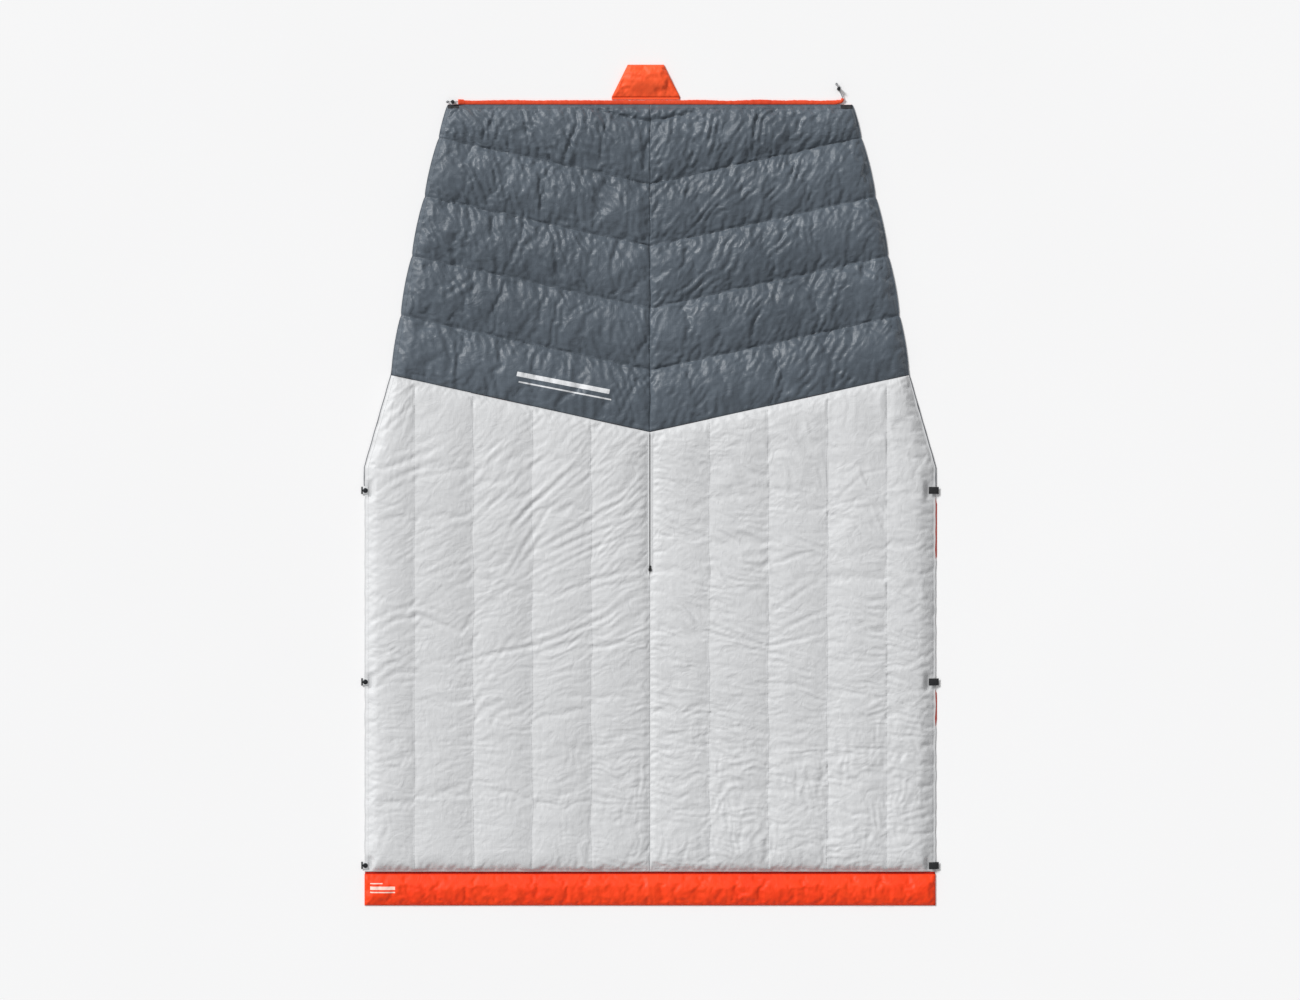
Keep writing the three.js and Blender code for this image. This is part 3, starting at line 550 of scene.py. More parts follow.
def nylon(name, colour, shade, light, rough, sheen, crumple, bars=(), bar_colour=None,
          shine=0.5):
    """Thin downproof nylon: a fine weave with a ripstop grid, crumple, soft stains and gloss."""
    n = Nodes(name)
    broad = n.spread(n.noise(3.2, 4, 0.4), 0.3, 0.7)
    fine = n.spread(n.noise(42, 5, 1.0), 0.35, 0.68)
    base = n.blend(linear(shade), linear(light), broad)
    base = n.blend(base, linear(colour), 0.55)
    base = n.tint(base, light, fine, 0.28)
    ripstop = n.spread(n.threads(0.0052, 18), 0.2, 1.0)
    base = n.tint(base, shade, ripstop, 0.16)
    for centre, size, turn in bars:
        base = n.blend(base, linear(bar_colour), n.bar(centre, size, turn))
    folds = n.noise(26, 6, 1.6)
    hair = n.noise(90, 4, 2.2, n.stretched((1, 0.35, 1), 0.5))
    normal = n.bump(folds, crumple, 0.004)
    normal = n.bump(hair, crumple * 0.7, 0.0012, normal)
    normal = n.bump(ripstop, 0.25, 0.0002, normal)
    normal = n.bump(n.threads(0.0007), 0.12, 0.0001, normal)
    gloss = n.spread(n.noise(15, 4, 0.8), 0.3, 0.7, rough - 0.06, rough + 0.08)
    return n.finish(base, normal, Roughness=gloss, Sheen_Weight=sheen,
                    Sheen_Roughness=0.45, Specular_IOR_Level=shine)


def webbing(name, colour, light):
    """Woven tape: ribs across and along, fuzz and worn edges."""
    n = Nodes(name)
    rib = n.threads(0.0014, 1.5, 0.785)
    base = n.tint(linear(colour), light, rib, 0.5)
    worn = n.spread(n.noise(220, 4, 0.5), 0.55, 0.75)
    base = n.tint(base, light, worn, 0.4)
    normal = n.bump(rib, 0.6, 0.0004)
    normal = n.bump(n.noise(1500, 2), 0.2, 0.0002, normal)
    return n.finish(base, normal, Roughness=n.spread(rib, 0, 1, 0.9, 0.7), Sheen_Weight=0.12)


def plastic(name, colour, light, rough):
    """Moulded plastic: a fine grain, scuffs and dust."""
    n = Nodes(name)
    scuff = n.spread(n.noise(240, 5, 2.0, n.stretched((1, 5, 1), 0.4)), 0.52, 0.75)
    base = n.tint(linear(colour), light, scuff, 0.5)
    base = n.tint(base, light, n.noise(60, 3), 0.15)
    normal = n.bump(n.noise(1800, 2), 0.18, 0.0002)
    normal = n.bump(n.noise(180, 3, 0.5), 0.1, 0.0005, normal)
    return n.finish(base, normal, Roughness=n.spread(scuff, 0, 1, rough, rough + 0.2))


def metal(name, colour, light, rough):
    """Painted or plated metal with brushed scratches."""
    n = Nodes(name)
    brushed = n.noise(500, 3, 0.3, n.stretched((1, 12, 1), 0.2))
    worn = n.spread(n.noise(300, 5, 1.0), 0.55, 0.7)
    base = n.tint(linear(colour), light, worn, 0.5)
    base = n.tint(base, light, brushed, 0.2)
    normal = n.bump(brushed, 0.15, 0.0001)
    return n.finish(base, normal, Metallic=0.85,
                    Roughness=n.spread(brushed, 0.3, 0.7, rough - 0.06, rough + 0.1))


def braid(name, colour, light):
    """Braided cord: crossed strands."""
    n = Nodes(name)
    strand = n.threads(0.0016, 1.2, 0.785)
    base = n.tint(linear(colour), light, strand, 0.6)
    fleck = n.spread(n.noise(700, 3), 0.58, 0.7)
    base = n.tint(base, light, fleck, 0.5)
    return n.finish(base, n.bump(strand, 0.7, 0.0004), Roughness=n.spread(strand, 0, 1, 0.9, 0.6),
                    Sheen_Weight=0.2)


def floor_paper(name):
    n = Nodes(name)
    tone = n.noise(1.5, 2)
    base = n.blend((0.93, 0.93, 0.93, 1), (0.95, 0.95, 0.95, 1), tone)
    return n.finish(base, n.bump(n.noise(300, 2), 0.02, 0.0002), Roughness=0.9,
                    Specular_IOR_Level=0.1)


MARK_TURN = math.radians(11)
# colour, shade, light, roughness, sheen, crumple
SLATE = nylon("nylon_slate", (77, 86, 95), (62, 71, 80), (98, 108, 118), 0.45, 0.32, 0.6,
              bars=[((-208, 245), (226, 11), MARK_TURN), ((-204, 226), (226, 3.5), MARK_TURN)],
              bar_colour=(226, 228, 230), shine=0.42)
GREY = nylon("nylon_grey", (208, 209, 210), (199, 200, 201), (215, 216, 217), 0.6, 0.12, 0.5)
ORANGE = nylon("nylon_orange", (252, 62, 12), (240, 46, 8), (255, 78, 20), 0.56, 0.04, 0.4,
               bars=[((-657, -957), (30, 2.5), 0), ((-642, -968), (60, 8), 0),
                     ((-642, -978), (60, 3), 0)], bar_colour=(252, 214, 200), shine=0.3)
ORANGE_FLAP = nylon("nylon_orange_flap", (255, 86, 38), (246, 70, 26), (255, 104, 54), 0.56,
                    0.06, 0.35, shine=0.3)
# a darker copy of the orange nylon: painted shade of the gathered drawcord channel
ORANGE_CHANNEL_PAINTED_SHADE = nylon("nylon_orange_channel_painted_shade", (226, 66, 28), (196, 48, 18), (244, 92, 50), 0.6,
                       0.04, 0.5, shine=0.3)
# a dark red copy of the orange nylon: painted shadow for the fold strip under the quilt's head
# edge
ORANGE_PAINTED_SHADOW = nylon("nylon_orange_painted_shadow", (176, 26, 10), (150, 18, 6), (204, 40, 16), 0.7, 0.02,
                    0.6, shine=0.2)
BINDING = webbing("binding_grey", (84, 87, 92), (122, 125, 130))
LINER = nylon("nylon_liner", (240, 64, 32), (222, 46, 18), (250, 88, 52), 0.52, 0.08, 0.65,
              shine=0.35)
THREAD_DARK = webbing("thread_slate", (66, 72, 79), (98, 105, 112))
THREAD_LIGHT = webbing("thread_grey", (178, 179, 181), (205, 206, 208))
WEBBING = webbing("webbing_black", (20, 21, 23), (46, 48, 51))
TAPE = webbing("tape_black", (26, 27, 29), (50, 52, 55))
PLASTIC = plastic("plastic_black", (22, 23, 24), (64, 66, 68), 0.42)
METAL = metal("metal_dark", (52, 53, 56), (120, 122, 126), 0.34)
STEEL = metal("steel_snap", (40, 42, 44), (104, 106, 110), 0.36)
BRAID = braid("braid_grey", (92, 94, 98), (188, 190, 194))


# ---- padded shell
def crown(f):
    """Share of the loft across a chamber, from seam to seam."""
    return np.clip(4 * f * (1 - f), 0, 1) ** 0.62


def swell(t, power):
    """Rises steeply from an edge and levels off at t = 1."""
    return np.sin(np.clip(t, 0, 1) * math.pi / 2) ** power


def zip_part(y):
    """1 along the zip, 0 away from its ends."""
    return smooth((y - ZIP_LOW + 9) / 8) * smooth((ZIP_HIGH + 4 - y) / 4)


def beside_zip(x, y):
    return (np.abs(x) < PLACKET) & (zip_part(y) > 0.01)


def seam_wiggle(y, c):
    """How an upright seam strays from a straight line."""
    return 1.6 * np.sin(y / 47 + c * 2.1) + 1.1 * np.sin(y / 19 + c)


TAB_ROWS = [(corner(f"side_tab_right_{k}", 0, 1) + corner(f"side_tab_right_{k}", 1, 1)) / 2
            for k in (1, 2, 3)]


def press_at_tabs(x, y, z):
    """Nothing stands up under the tabs on the edges."""
    away = np.abs(x)
    right = 2.7 + np.clip(684 - away, 0, 20) * 0.17 + np.maximum(0, 664 - away) * 1.3
    left = 2.7 + np.maximum(0, 670 - away) * 1.3
    cap = np.where(x > 0, right, left)
    for tab_y in TAB_ROWS:
        beside = smooth((30 - np.abs(y - tab_y)) / 19)
        z = np.where(z > cap, mix(z, cap, beside), z)
    return z


def padded_half(name, side, grid, low_y, high_y, material):
    """Half of a skin closed below; low_y and high_y bound the floor hidden under it."""
    bx, by, bz = border_of(grid).T
    along_zip = (np.abs(bx) < 8) * zip_part(by)
    ring1 = np.stack([bx, by, bz - 0.5], 1)
    lip = np.where(along_zip > 0.02, side * mix(np.abs(bx), 14, along_zip), bx)
    ring2 = np.stack([lip, by, np.where(bz < 4, 2.0, bz - 0.9)], 1)
    ring3 = ring2 * (1, 1, 0) + (0, 0, WALL_Z)
    far = half_width(by) - DRAW_IN - HEM
    ix = np.clip(ring3[:, 0] * side, DRAW_IN + 14 * along_zip, far) * side
    iy = np.minimum(np.maximum(by, low_y(bx)), high_y(bx))
    ring4 = np.stack([ix, iy, np.full_like(ix, UNDER_Z)], 1)
    return add_mesh(name, *close_below(grid, [ring1, ring2, ring3, ring4]), material)


def body_grid(side):
    """Half of the body's skin: columns from the middle out, rows from the head to the V."""
    across = [(0, f) for f in (0, 0.02, 0.042, *np.linspace(0.075, 1, 21))]
    for c in range(1, CHAMBERS - 1):
        across += [(c, f) for f in np.linspace(0, 1, 23)[1:]]
    across += [(CHAMBERS - 1, f) for f in np.linspace(0, 1, 18)[1:]]
    across += [(CHAMBERS, 0.5), (CHAMBERS, 1.0)]
    up = np.concatenate([[0, 0.5, 1], 1 + np.linspace(0, 1, 172)[1:]])
    chamber, t = np.meshgrid([c for c, _ in across], up)
    f, _ = np.meshgrid([f for _, f in across], up)
    outer, hem = chamber == CHAMBERS - 1, chamber == CHAMBERS
    seam_line = (chamber + f) * PITCH
    x = seam_line
    for _ in range(5):
        y = np.where(t <= 1, HEAD_Y + HEM * t, mix(HEAD_Y + HEM, vee(0, x) - 0.2, t - 1))
        edge = half_width(y) + 1.3 * noise2(y, y * 0, 34, 330 + side)
        x = np.where(outer, mix((CHAMBERS - 1) * PITCH, edge - HEM, f), seam_line)
        x = np.where(hem, edge - HEM * (1 - f), x)
    x = np.where(chamber == 0, mix(mix(0.04, LIP, zip_part(y)), PITCH, f), x)
    strays = (chamber < CHAMBERS - 1) & (seam_line > 40)
    x = (x + np.where(strays, seam_wiggle(y, chamber), 0)) * side
    # heights
    centre = mix(BODY_SEAM - 4, LIP_TOP, zip_part(y))
    base = np.full_like(x, BODY_SEAM)
    base = np.where(chamber == 0, mix(centre, BODY_SEAM, smooth(f * 2.2)), base)
    base = np.where(outer, mix(BODY_SEAM, HEM_TOP, f ** (4 if side > 0 else 8)), base)
    base = np.where(hem, HEM_TOP, base)
    rise = swell((y - HEAD_Y - HEM) / 30, 0.8)
    drop = swell((vee(0, x) - y) / 55, 0.8)
    start = HEAD_EDGE + 0.9 * noise2(x, x * 0, 55, 331) + 0.5 * noise2(x, x * 0, 21, 332)
    start = mix(start, HEM_TOP, smooth((np.abs(x) - edge + 34) / 32))
    start = np.minimum(start, base) - 2.4 * np.clip(1 - t, 0, 1) ** 2
    loft = np.where(hem, 0, crown(f))
    z = start + (base - start) * rise + 3.2 * loft * np.minimum(rise, drop)
    z = z + (VEE_SEAM - base) * (1 - drop) * np.where(hem, 0, 1) * (base / BODY_SEAM)
    calm = smooth((np.abs(x) - 4) / 14) * np.where(hem, 0, 1)
    calm = calm * smooth((edge - HEM - np.abs(x)) / 18) * smooth((y - HEAD_Y - HEM) / 12)
    calm = calm * smooth((vee(0, x) - y) / 16)
    z = z + calm * body_folds(x, y)
    # what is sewn down: loosely at the chamber seams, firmly at the edges and the zip
    pins = np.zeros_like(x)
    pins[(f == 1) & (chamber < CHAMBERS - 1) & (t > 1)] = 0.5
    pins[hem | (t <= 1)] = 1
    pins[:, 0] = 1
    pins[-1, :] = 1
    pins[beside_zip(x, y) | outer & (f == 1)] = 1
    z = np.where(beside_zip(x, y), mix(z, LIP_TOP, zip_part(y)), z)
    return np.stack([x, y, z], -1), pins, calm


def body_half(side, name):
    grid, pins, calm = body_grid(side)
    if side < 0:
        grid, pins, calm = grid[:, ::-1], pins[:, ::-1], calm[:, ::-1]
    skin = puff(grid, pins, 0.013)
    skin[..., 2] -= 0.52 * np.maximum(skin[..., 2] - BODY_SEAM, 0)
    x, y, z = np.moveaxis(refine(skin), -1, 0)
    z = z + refine(calm) * (body_wrinkles(x, y) + 0.28 * ridged(x, y, 12, 22)
                            + 0.2 * ridged(x, y, 7.5, 23))
    z = np.maximum(soft_top(z), HEM_TOP)
    z = np.where(beside_zip(x, y), np.minimum(z, LIP_TOP + 0.5), z)
    z = press_at_tabs(x, y, z)
    return padded_half(name, side, np.stack([x, y, z], -1),
                       lambda bx: HEAD_Y + DRAW_IN + HEM, lambda bx: vee(0, bx) - DRAW_IN, GREY)


def foot_grid():
    """The slate skin: columns from left to right, five rows of V chambers and the hem."""
    half = np.concatenate([np.linspace(0, 1, 76), [1.5, 2]])
    levels = []
    for row in range(FOOT_ROWS):
        count = 23 if row < FOOT_ROWS - 1 else 27
        levels += [(row, g) for g in np.linspace(0, 1, count + 1)[(0 if row == 0 else 1):]]
    levels += [(FOOT_ROWS, 0.5), (FOOT_ROWS, 1.0)]
    u = np.concatenate([-half[:0:-1], half])
    uu, row = np.meshgrid(u, [r for r, _ in levels])
    _, g = np.meshgrid(u, [g for _, g in levels])
    in_last, in_hem = row == FOOT_ROWS - 1, row == FOOT_ROWS
    x = uu * 250.0
    for _ in range(8):
        low = vee(row, x) + np.where(row == 0, 0.2, 0)
        high = np.where(in_last, FOOT_Y - HEM, vee(row + 1, x))
        y = np.where(in_hem, FOOT_Y - HEM * (1 - g), mix(low, high, g))
        bulge = 4.5 * crown(np.where(in_hem, 0, g)) - 1.0
        edge = half_width(np.minimum(y, FOOT_Y)) + bulge * np.where(in_last, 0.5, 1)
        inner = np.clip(np.abs(uu), 0, 1) * (edge - HEM)
        x = np.sign(uu) * (inner + np.clip(np.abs(uu) - 1, 0, 1) * HEM)
    wander = 2.6 * noise2(x, row * 50.0, 46, 341) + 1.3 * noise2(x, row * 50.0, 17, 342)
    wander = wander * np.where((row < FOOT_ROWS - 1) | (in_last & (g < 0.5)), 1, 0)
    y = y + wander * smooth((y - vee(0, x)) / 60) * smooth((edge - np.abs(x)) / 60)
    # the sixth V seam runs out into the foot hem
    last = np.flatnonzero(in_last[:, 0] & (g[:, 0] > 0) & (g[:, 0] < 1))
    extra = np.zeros_like(x, bool)
    for k in range(len(u)):
        aim = vee(FOOT_ROWS, x[last[0], k])
        if aim < FOOT_Y - HEM - 6:
            pick = last[np.argmin(np.abs(y[last, k] - aim))]
            y[pick, k] = aim
            extra[pick, k] = True
    return x, y, row, g, uu, edge, extra


def foot_skin():
    x, y, row, g, uu, edge, extra = foot_grid()
    in_last, in_hem = row == FOOT_ROWS - 1, row == FOOT_ROWS
    span_low, span_high = vee(FOOT_ROWS - 1, x), FOOT_Y - HEM
    split = np.clip(vee(FOOT_ROWS, x), span_low + 1, span_high)
    lower = np.clip((y - span_low) / (split - span_low), 0, 1)
    upper = np.clip((y - split) / np.maximum(span_high - split, 1), 0, 1)
    upper_loft = crown(upper) * np.clip((span_high - split) / 60, 0, 1)
    two = np.where(y < split, crown(lower), upper_loft)
    one = crown(np.clip((y - span_low) / (span_high - span_low), 0, 1))
    loft = np.where(in_hem, 0, crown(g))
    loft = np.where(in_last, mix(one, two, smooth((span_high - split) / 30)), loft)
    seam = FOOT_SEAM + 3.0 * noise2(x, y, 75, 340) + 2.5 * smooth((y - 0.5 * x - 560) / 300)
    seam = np.where(row == 0, mix(VEE_SEAM, FOOT_SEAM, g), seam)
    ends = swell((edge - HEM - np.abs(x)) / 34, 0.7)
    top = swell((FOOT_Y - HEM - y) / 30, 0.8)
    middle = 1 - 0.42 * np.exp(-(x / 11.0) ** 2) * smooth((800 - y) / 240)
    x = x + 2.4 * noise2(x * 0, y, 60, 344) * smooth((40 - np.abs(x)) / 36)
    z = HEM_TOP + (seam - HEM_TOP) * np.minimum(ends, top) + 15 * loft * ends * middle
    z = np.where((np.abs(uu) > 1) | in_hem, HEM_TOP, z)
    calm = smooth((edge - HEM - np.abs(x)) / 16) * smooth((FOOT_Y - HEM - y) / 12)
    calm = calm * smooth((y - vee(0, x)) / 8)
    z = z + calm * (0.35 + 0.65 * loft) * foot_folds(x, y)
    pins = np.zeros_like(x)
    pins[(g == 1) & (row < FOOT_ROWS - 1)] = 1
    pins[extra] = 1
    z = np.where(extra, np.minimum(z, FOOT_SEAM + 2), z)
    pins[np.abs(uu) < 1e-9] = 0.7
    pins[(np.abs(uu) >= 1) | in_hem | in_last & (g == 1)] = 1
    pins[0, :] = 1
    skin = puff(np.stack([x, y, z], -1), pins, 0.048)
    full = np.percentile(skin[..., 2], 95)
    share = min(1, (FOOT_CROWN - HEM_TOP) / (full - HEM_TOP))
    skin[..., 2] = HEM_TOP + (skin[..., 2] - HEM_TOP) * share
    return skin, calm


def foot_half(side, name, skin, calm):
    middle = calm.shape[1] // 2
    pick = slice(middle, None) if side > 0 else slice(0, middle + 1)
    x, y, z = np.moveaxis(refine(skin[:, pick]), -1, 0).copy()
    z = z + refine(calm[:, pick]) * (foot_wrinkles(x, y) + 0.7 * ridged(x, y, 13, 42, 1.6, 0.4)
                                     + 0.35 * ridged(x, y, 7.5, 43))
    z = np.maximum(soft_top(z), HEM_TOP)
    x[:, 0 if side > 0 else -1] += side * 0.04
    return padded_half(name, side, np.stack([x, y, z], -1),
                       lambda bx: vee(0, bx) + DRAW_IN, lambda bx: FOOT_Y - DRAW_IN - HEM, SLATE)


def chambers(kind, side, count):
    return [f"{kind}_down_{side}_{k}" for k in range(1, count + 1)]


shells = []
for side, word in ((-1, "left"), (1, "right")):
    piece = body_half(side, f"body_{word}")
    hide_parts(f"shell_body_{word}", *chambers("body", word, CHAMBERS))
    shells.append(piece)
skin, skin_calm = foot_skin()
for side, word in ((-1, "left"), (1, "right")):
    piece = foot_half(side, f"foot_{word}", skin, skin_calm)
    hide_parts(f"shell_foot_{word}", *chambers("foot", word, FOOT_ROWS))
    shells.append(piece)
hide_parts("baffle_walls", "baffle_centre")
for piece in shells:
    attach(piece, "quilt")


# ---- liner
def liner_points(side):
    """The underside: shallow quilting over the floor, hem and slit."""
    t, u = np.meshgrid(np.linspace(0, 1, 147), np.linspace(0, 1, 56), indexing="ij")
    y = mix(HEAD_Y, FOOT_Y, t)
    edge = half_width(y)
    slit = 1.2 * smooth((y - ZIP_LOW) / 6) * smooth((ZIP_HIGH - y) / 6)
    x = mix(slit, edge - 2.4, u)
    if side > 0:
        peek = smooth((y + 190) / 20) * smooth((-22 - y) / 20)
        peek = peek + smooth((y + 586) / 16) * smooth((-486 - y) / 16)
        x = x + 5.6 * peek * smooth((u - 0.97) / 0.03)
    in_body = y < vee(0, x)
    chamber = np.abs(((x / PITCH) % 1) - 0.5) * 2
    row = np.abs((((y - vee(0, x)) / ROW_PITCH) % 1) - 0.5) * 2
    valley = np.where(in_body, chamber, row) ** 5
    valley = np.maximum(valley, np.exp(-((y - vee(0, x)) / 9) ** 2))
    calm = smooth((edge - 16 - x) / 30) * smooth((y - HEAD_Y - 16) / 30)
    calm = calm * smooth((FOOT_Y - 16 - y) / 30)
    relief = 2.6 * valley + 0.35 * (ridged(x * side, y, 22, 61, 1.5) + 0.5)
    low = 0.15 + calm * np.clip(relief, 0, 3.1)
    low = low * smooth((x - slit) / 8 + 0.2) + 0.1
    return np.stack([x * side, y, low], -1)


def two_sided(top, bottom):
    """A closed thin sheet between two grids of points."""
    rows, cols = top.shape[:2]
    n = rows * cols
    faces = grid_faces(rows, cols)
    faces += [f[::-1] for f in grid_faces(rows, cols, n)]
    border = rim(rows, cols)
    nxt = np.roll(border, -1)
    faces += [[int(b), int(a), int(a + n), int(b + n)] for a, b in zip(border, nxt)]
    return np.concatenate([top.reshape(-1, 3), bottom.reshape(-1, 3)]), faces


def join_parts(parts):
    points, faces, start = [], [], 0
    for p, f in parts:
        points.append(np.asarray(p, float))
        faces += [[int(i) + start for i in face] for face in f]
        start += len(p)
    return np.concatenate(points), faces


def liner():
    parts = []
    for side in (-1, 1):
        low = liner_points(side)
        if side < 0:
            low = low[:, ::-1]
        parts.append(two_sided(low + (0, 0, 0.9), low))
    piece = add_mesh("liner_sheet", *join_parts(parts), LINER)
    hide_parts("liner")
    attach(piece, "quilt")


liner()


# ---- draft collar and foot flap
def flap_form(name, part, half, fold_y, end_y, centre, seed, crown_mm, folds, material, grow):
    """A padded flap: a puckered skin that is sewn to its lining all round.

    name is the piece and its body, part is the start of its CAD nodes' names."""
    deep = abs(end_y - fold_y)
    sign = 1 if end_y > fold_y else -1
    cols = int(2 * half(0) / 6.4) + 1
    rows = int(deep / 6) + 1
    v, u = np.meshgrid(np.linspace(0, 1, rows), np.linspace(-1, 1, cols), indexing="ij")
    x = centre + u * half(v)
    y = fold_y + sign * deep * v
    rim_gap = np.minimum(half(v) * (1 - np.abs(u)), deep * np.minimum(v, 1 - v))
    dip = 14 + 12 * smooth(0.5 + 0.9 * noise2(x, x * 0, 48, seed + 7))
    dip = dip + 4 * noise2(x, y, 16, seed + 8)
    z = FLAP_EDGE + (crown_mm - FLAP_EDGE) * np.minimum(
        np.clip(rim_gap / 22, 0, 1) ** 0.55, np.clip(deep * v / dip, 0, 1) ** 1.5)
    z = z + 0.7 * noise2(x, y, 30, seed, 1.8, 0.6) * smooth(rim_gap / 10)
    for depth, width, line in folds:
        z = z + crease(x, y, line, depth, width) * smooth(rim_gap / 8)
    pins = np.zeros_like(x)
    pins[0, :] = pins[-1, :] = 1
    pins[:, 0] = pins[:, -1] = 1
    z = np.where(pins == 1, FLAP_EDGE, z)
    grid = np.stack([x, y, z], -1)
    if sign < 0:
        grid, pins = grid[::-1], pins[::-1]
    px, py, pz = np.moveaxis(refine(puff(grid, pins, grow)), -1, 0)
    calm = np.clip((pz - FLAP_EDGE) / 4, 0, 1)
    pz = pz + calm * (1.5 * ridged(px, py, 17, seed + 1, 2.4, 0.8)
                      + 0.7 * ridged(px, py, 9, seed + 2, 2.0, -0.4))
    # thin next to the fold, so that it clears the quilt when it stands
    pz = np.minimum(pz, FLAP_EDGE + 0.42 * np.abs(py - fold_y))
    fine = np.stack([px, py, np.clip(pz, 2.4, crown_mm + 6)], -1)
    border = border_of(fine)
    below = border * (1, 1, 0) + (0, 0, 1.5)
    out = border - (centre, (fold_y + end_y) / 2, 0)
    inward = out * (1 - 14 / np.maximum(np.abs(out), 15)) + (centre, (fold_y + end_y) / 2, 0)
    inset = inward * (1, 1, 0) + (0, 0, 1.5)
    solid = close_below(fine, [border - (0, 0, 0.4), below, inset])
    piece = add_mesh(name + "_skin", *solid, material)
    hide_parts(f"{part}_shell", f"{part}_down")
    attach(piece, name)
    # the lining below
    ripple = 0.5 + 0.5 * noise2(x, y, 26, seed + 3, 1.7, 0.5)
    ripple = ripple + 0.5 * ridged(x, y, 19, seed + 4, 2.2)
    low = np.stack([x, y, 0.1 + np.clip(rim_gap / 9, 0, 1) * np.clip(ripple, 0, 1)], -1)
    if sign < 0:
        low = low[::-1]
    under = add_mesh(name + "_underside", *two_sided(low * (1, 1, 0) + (0, 0, 1.2), low), LINER)
    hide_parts(f"{part}_lining")
    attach(under, name)


COLLAR_FOLD, COLLAR_END = corner("collar_shell", 1, 1), corner("collar_shell", 0, 1)
FLAP_FOLD, FLAP_END = corner("flap_shell", 0, 1), corner("flap_shell", 1, 1)
FLAP_X, FLAP_BASE, FLAP_TOP = -10, 82, 43.5
collar_folds = [
    (1.6, 5, [(-560, -940), (-470, -958), (-380, -948)]),
    (1.8, 5, [(-300, -942), (-180, -956), (-90, -948)]),
    (1.6, 6, [(-60, -944), (40, -962), (160, -950)]),
    (1.6, 5, [(200, -942), (330, -958), (430, -948)]),
    (1.4, 6, [(430, -960), (520, -950), (640, -966)]),
    (1.2, 6, [(-420, -975), (-300, -985), (-200, -975)]),
    (1.2, 6, [(80, -982), (200, -975), (320, -985)]),
]
flap_folds = [
    (1.2, 5, [(-70, 985), (-10, 975), (50, 985)]),
    (1.2, 5, [(-60, 950), (0, 944), (50, 952)]),
]
flap_form("collar", "collar", lambda v: np.full_like(np.asarray(v, float), HEAD_HALF),
          COLLAR_FOLD, COLLAR_END, 0, 71, 11.5, collar_folds, ORANGE, 0.02)
flap_form("foot_flap", "flap", lambda v: mix(FLAP_BASE, FLAP_TOP, np.asarray(v, float)),
          FLAP_FOLD, FLAP_END, FLAP_X, 81, 12, flap_folds, ORANGE_FLAP, 0.03)


def fold_strip(name, x0, x1, y0, y1, seed, material):
    """The soft fold that joins a flap to the quilt."""
    low_y, high_y = min(y0, y1), max(y0, y1)
    cols = int((x1 - x0) / 4) + 1
    v, u = np.meshgrid(np.linspace(0, 1, 9), np.linspace(0, 1, cols), indexing="ij")
    x, y = mix(x0, x1, u), mix(low_y, high_y, v)
    dip = np.sin(v * math.pi)
    z = 2.0 - 0.5 * dip + 0.35 * noise2(x, y, 7, seed, 3) * dip
    top = np.stack([x, y, z], -1)
    piece = add_mesh(name, *two_sided(top, top - (0, 0, 1.1)), material)
    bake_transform(piece)


# the collar's fold strip wears the dark red copy of the orange: painted shadow under the quilt's
# head edge
fold_strip("collar_fold_strip", -HEAD_HALF + 1, HEAD_HALF - 1, HEAD_Y, COLLAR_FOLD, 91,
           ORANGE_PAINTED_SHADOW)
CHANNEL_TOP_Y = corner("foot_channel", 1, 1)
fold_strip("flap_fold_strip", FLAP_X - FLAP_BASE, FLAP_X + FLAP_BASE, CHANNEL_TOP_Y, FLAP_FOLD,
           92, ORANGE_FLAP)


# ---- tubes, boxes and small shapes
def tube_faces(n, sides):
    """The walls and the two ends of n rings of points."""
    faces = []
    for k in range(n - 1):
        for s in range(sides):
            m = (s + 1) % sides
            faces.append([k * sides + s, k * sides + m, (k + 1) * sides + m, (k + 1) * sides + s])
    faces.append(list(range(sides))[::-1])
    faces.append([(n - 1) * sides + s for s in range(sides)])
    return faces


def tube(path, radius, sides=10, squash=1.0):
    """A closed tube along a path of points. radius is a number or one for each point."""
    path = np.asarray(path, float)
    n = len(path)
    radius = np.broadcast_to(np.asarray(radius, float), (n,))
    along = np.gradient(path, axis=0)
    along /= np.linalg.norm(along, axis=1)[:, None]
    up = np.array([0, 0, 1.0])
    points = []
    for k in range(n):
        a = np.cross(up, along[k])
        a /= max(np.linalg.norm(a), 1e-9)
        b = np.cross(along[k], a)
        for s in range(sides):
            w = 2 * math.pi * s / sides
            points.append(path[k] + radius[k] * (math.cos(w) * a + squash * math.sin(w) * b))
    return np.array(points), tube_faces(n, sides)


def slab(half_x, half_y, half_z, edge=0.5):
    """A soft-edged block about the origin."""
    xs = [-half_x, -half_x + edge, 0, half_x - edge, half_x]
    ys = [-half_y, -half_y + edge, 0, half_y - edge, half_y]
    x, y = np.meshgrid(xs, ys)
    z = np.full_like(x, half_z * 0.55)
    z[1:-1, 1:-1] = half_z
    return two_sided(np.stack([x, y, z], -1), np.stack([x, y, -z], -1))


def place(part, x, y, z, turn=0.0, tilt=0.0):
    """Tilts a part about Y, turns it about Z, then moves it."""
    p, f = part
    p = np.asarray(p, float)
    c, s = math.cos(tilt), math.sin(tilt)
    p = np.stack([p[:, 0] * c + p[:, 2] * s, p[:, 1], -p[:, 0] * s + p[:, 2] * c], 1)
    c, s = math.cos(turn), math.sin(turn)
    p = np.stack([p[:, 0] * c - p[:, 1] * s, p[:, 0] * s + p[:, 1] * c, p[:, 2]], 1)
    return p + (x, y, z), f


# ---- drawcord channel and cord
CHANNEL_Y = (corner("foot_channel", 0, 1) + CHANNEL_TOP_Y) / 2
CHANNEL_HALF = corner("foot_channel", 1, 0)
CORD_LOW, CORD_HIGH, CORD_Y = 2.5, 6.5, 920.4
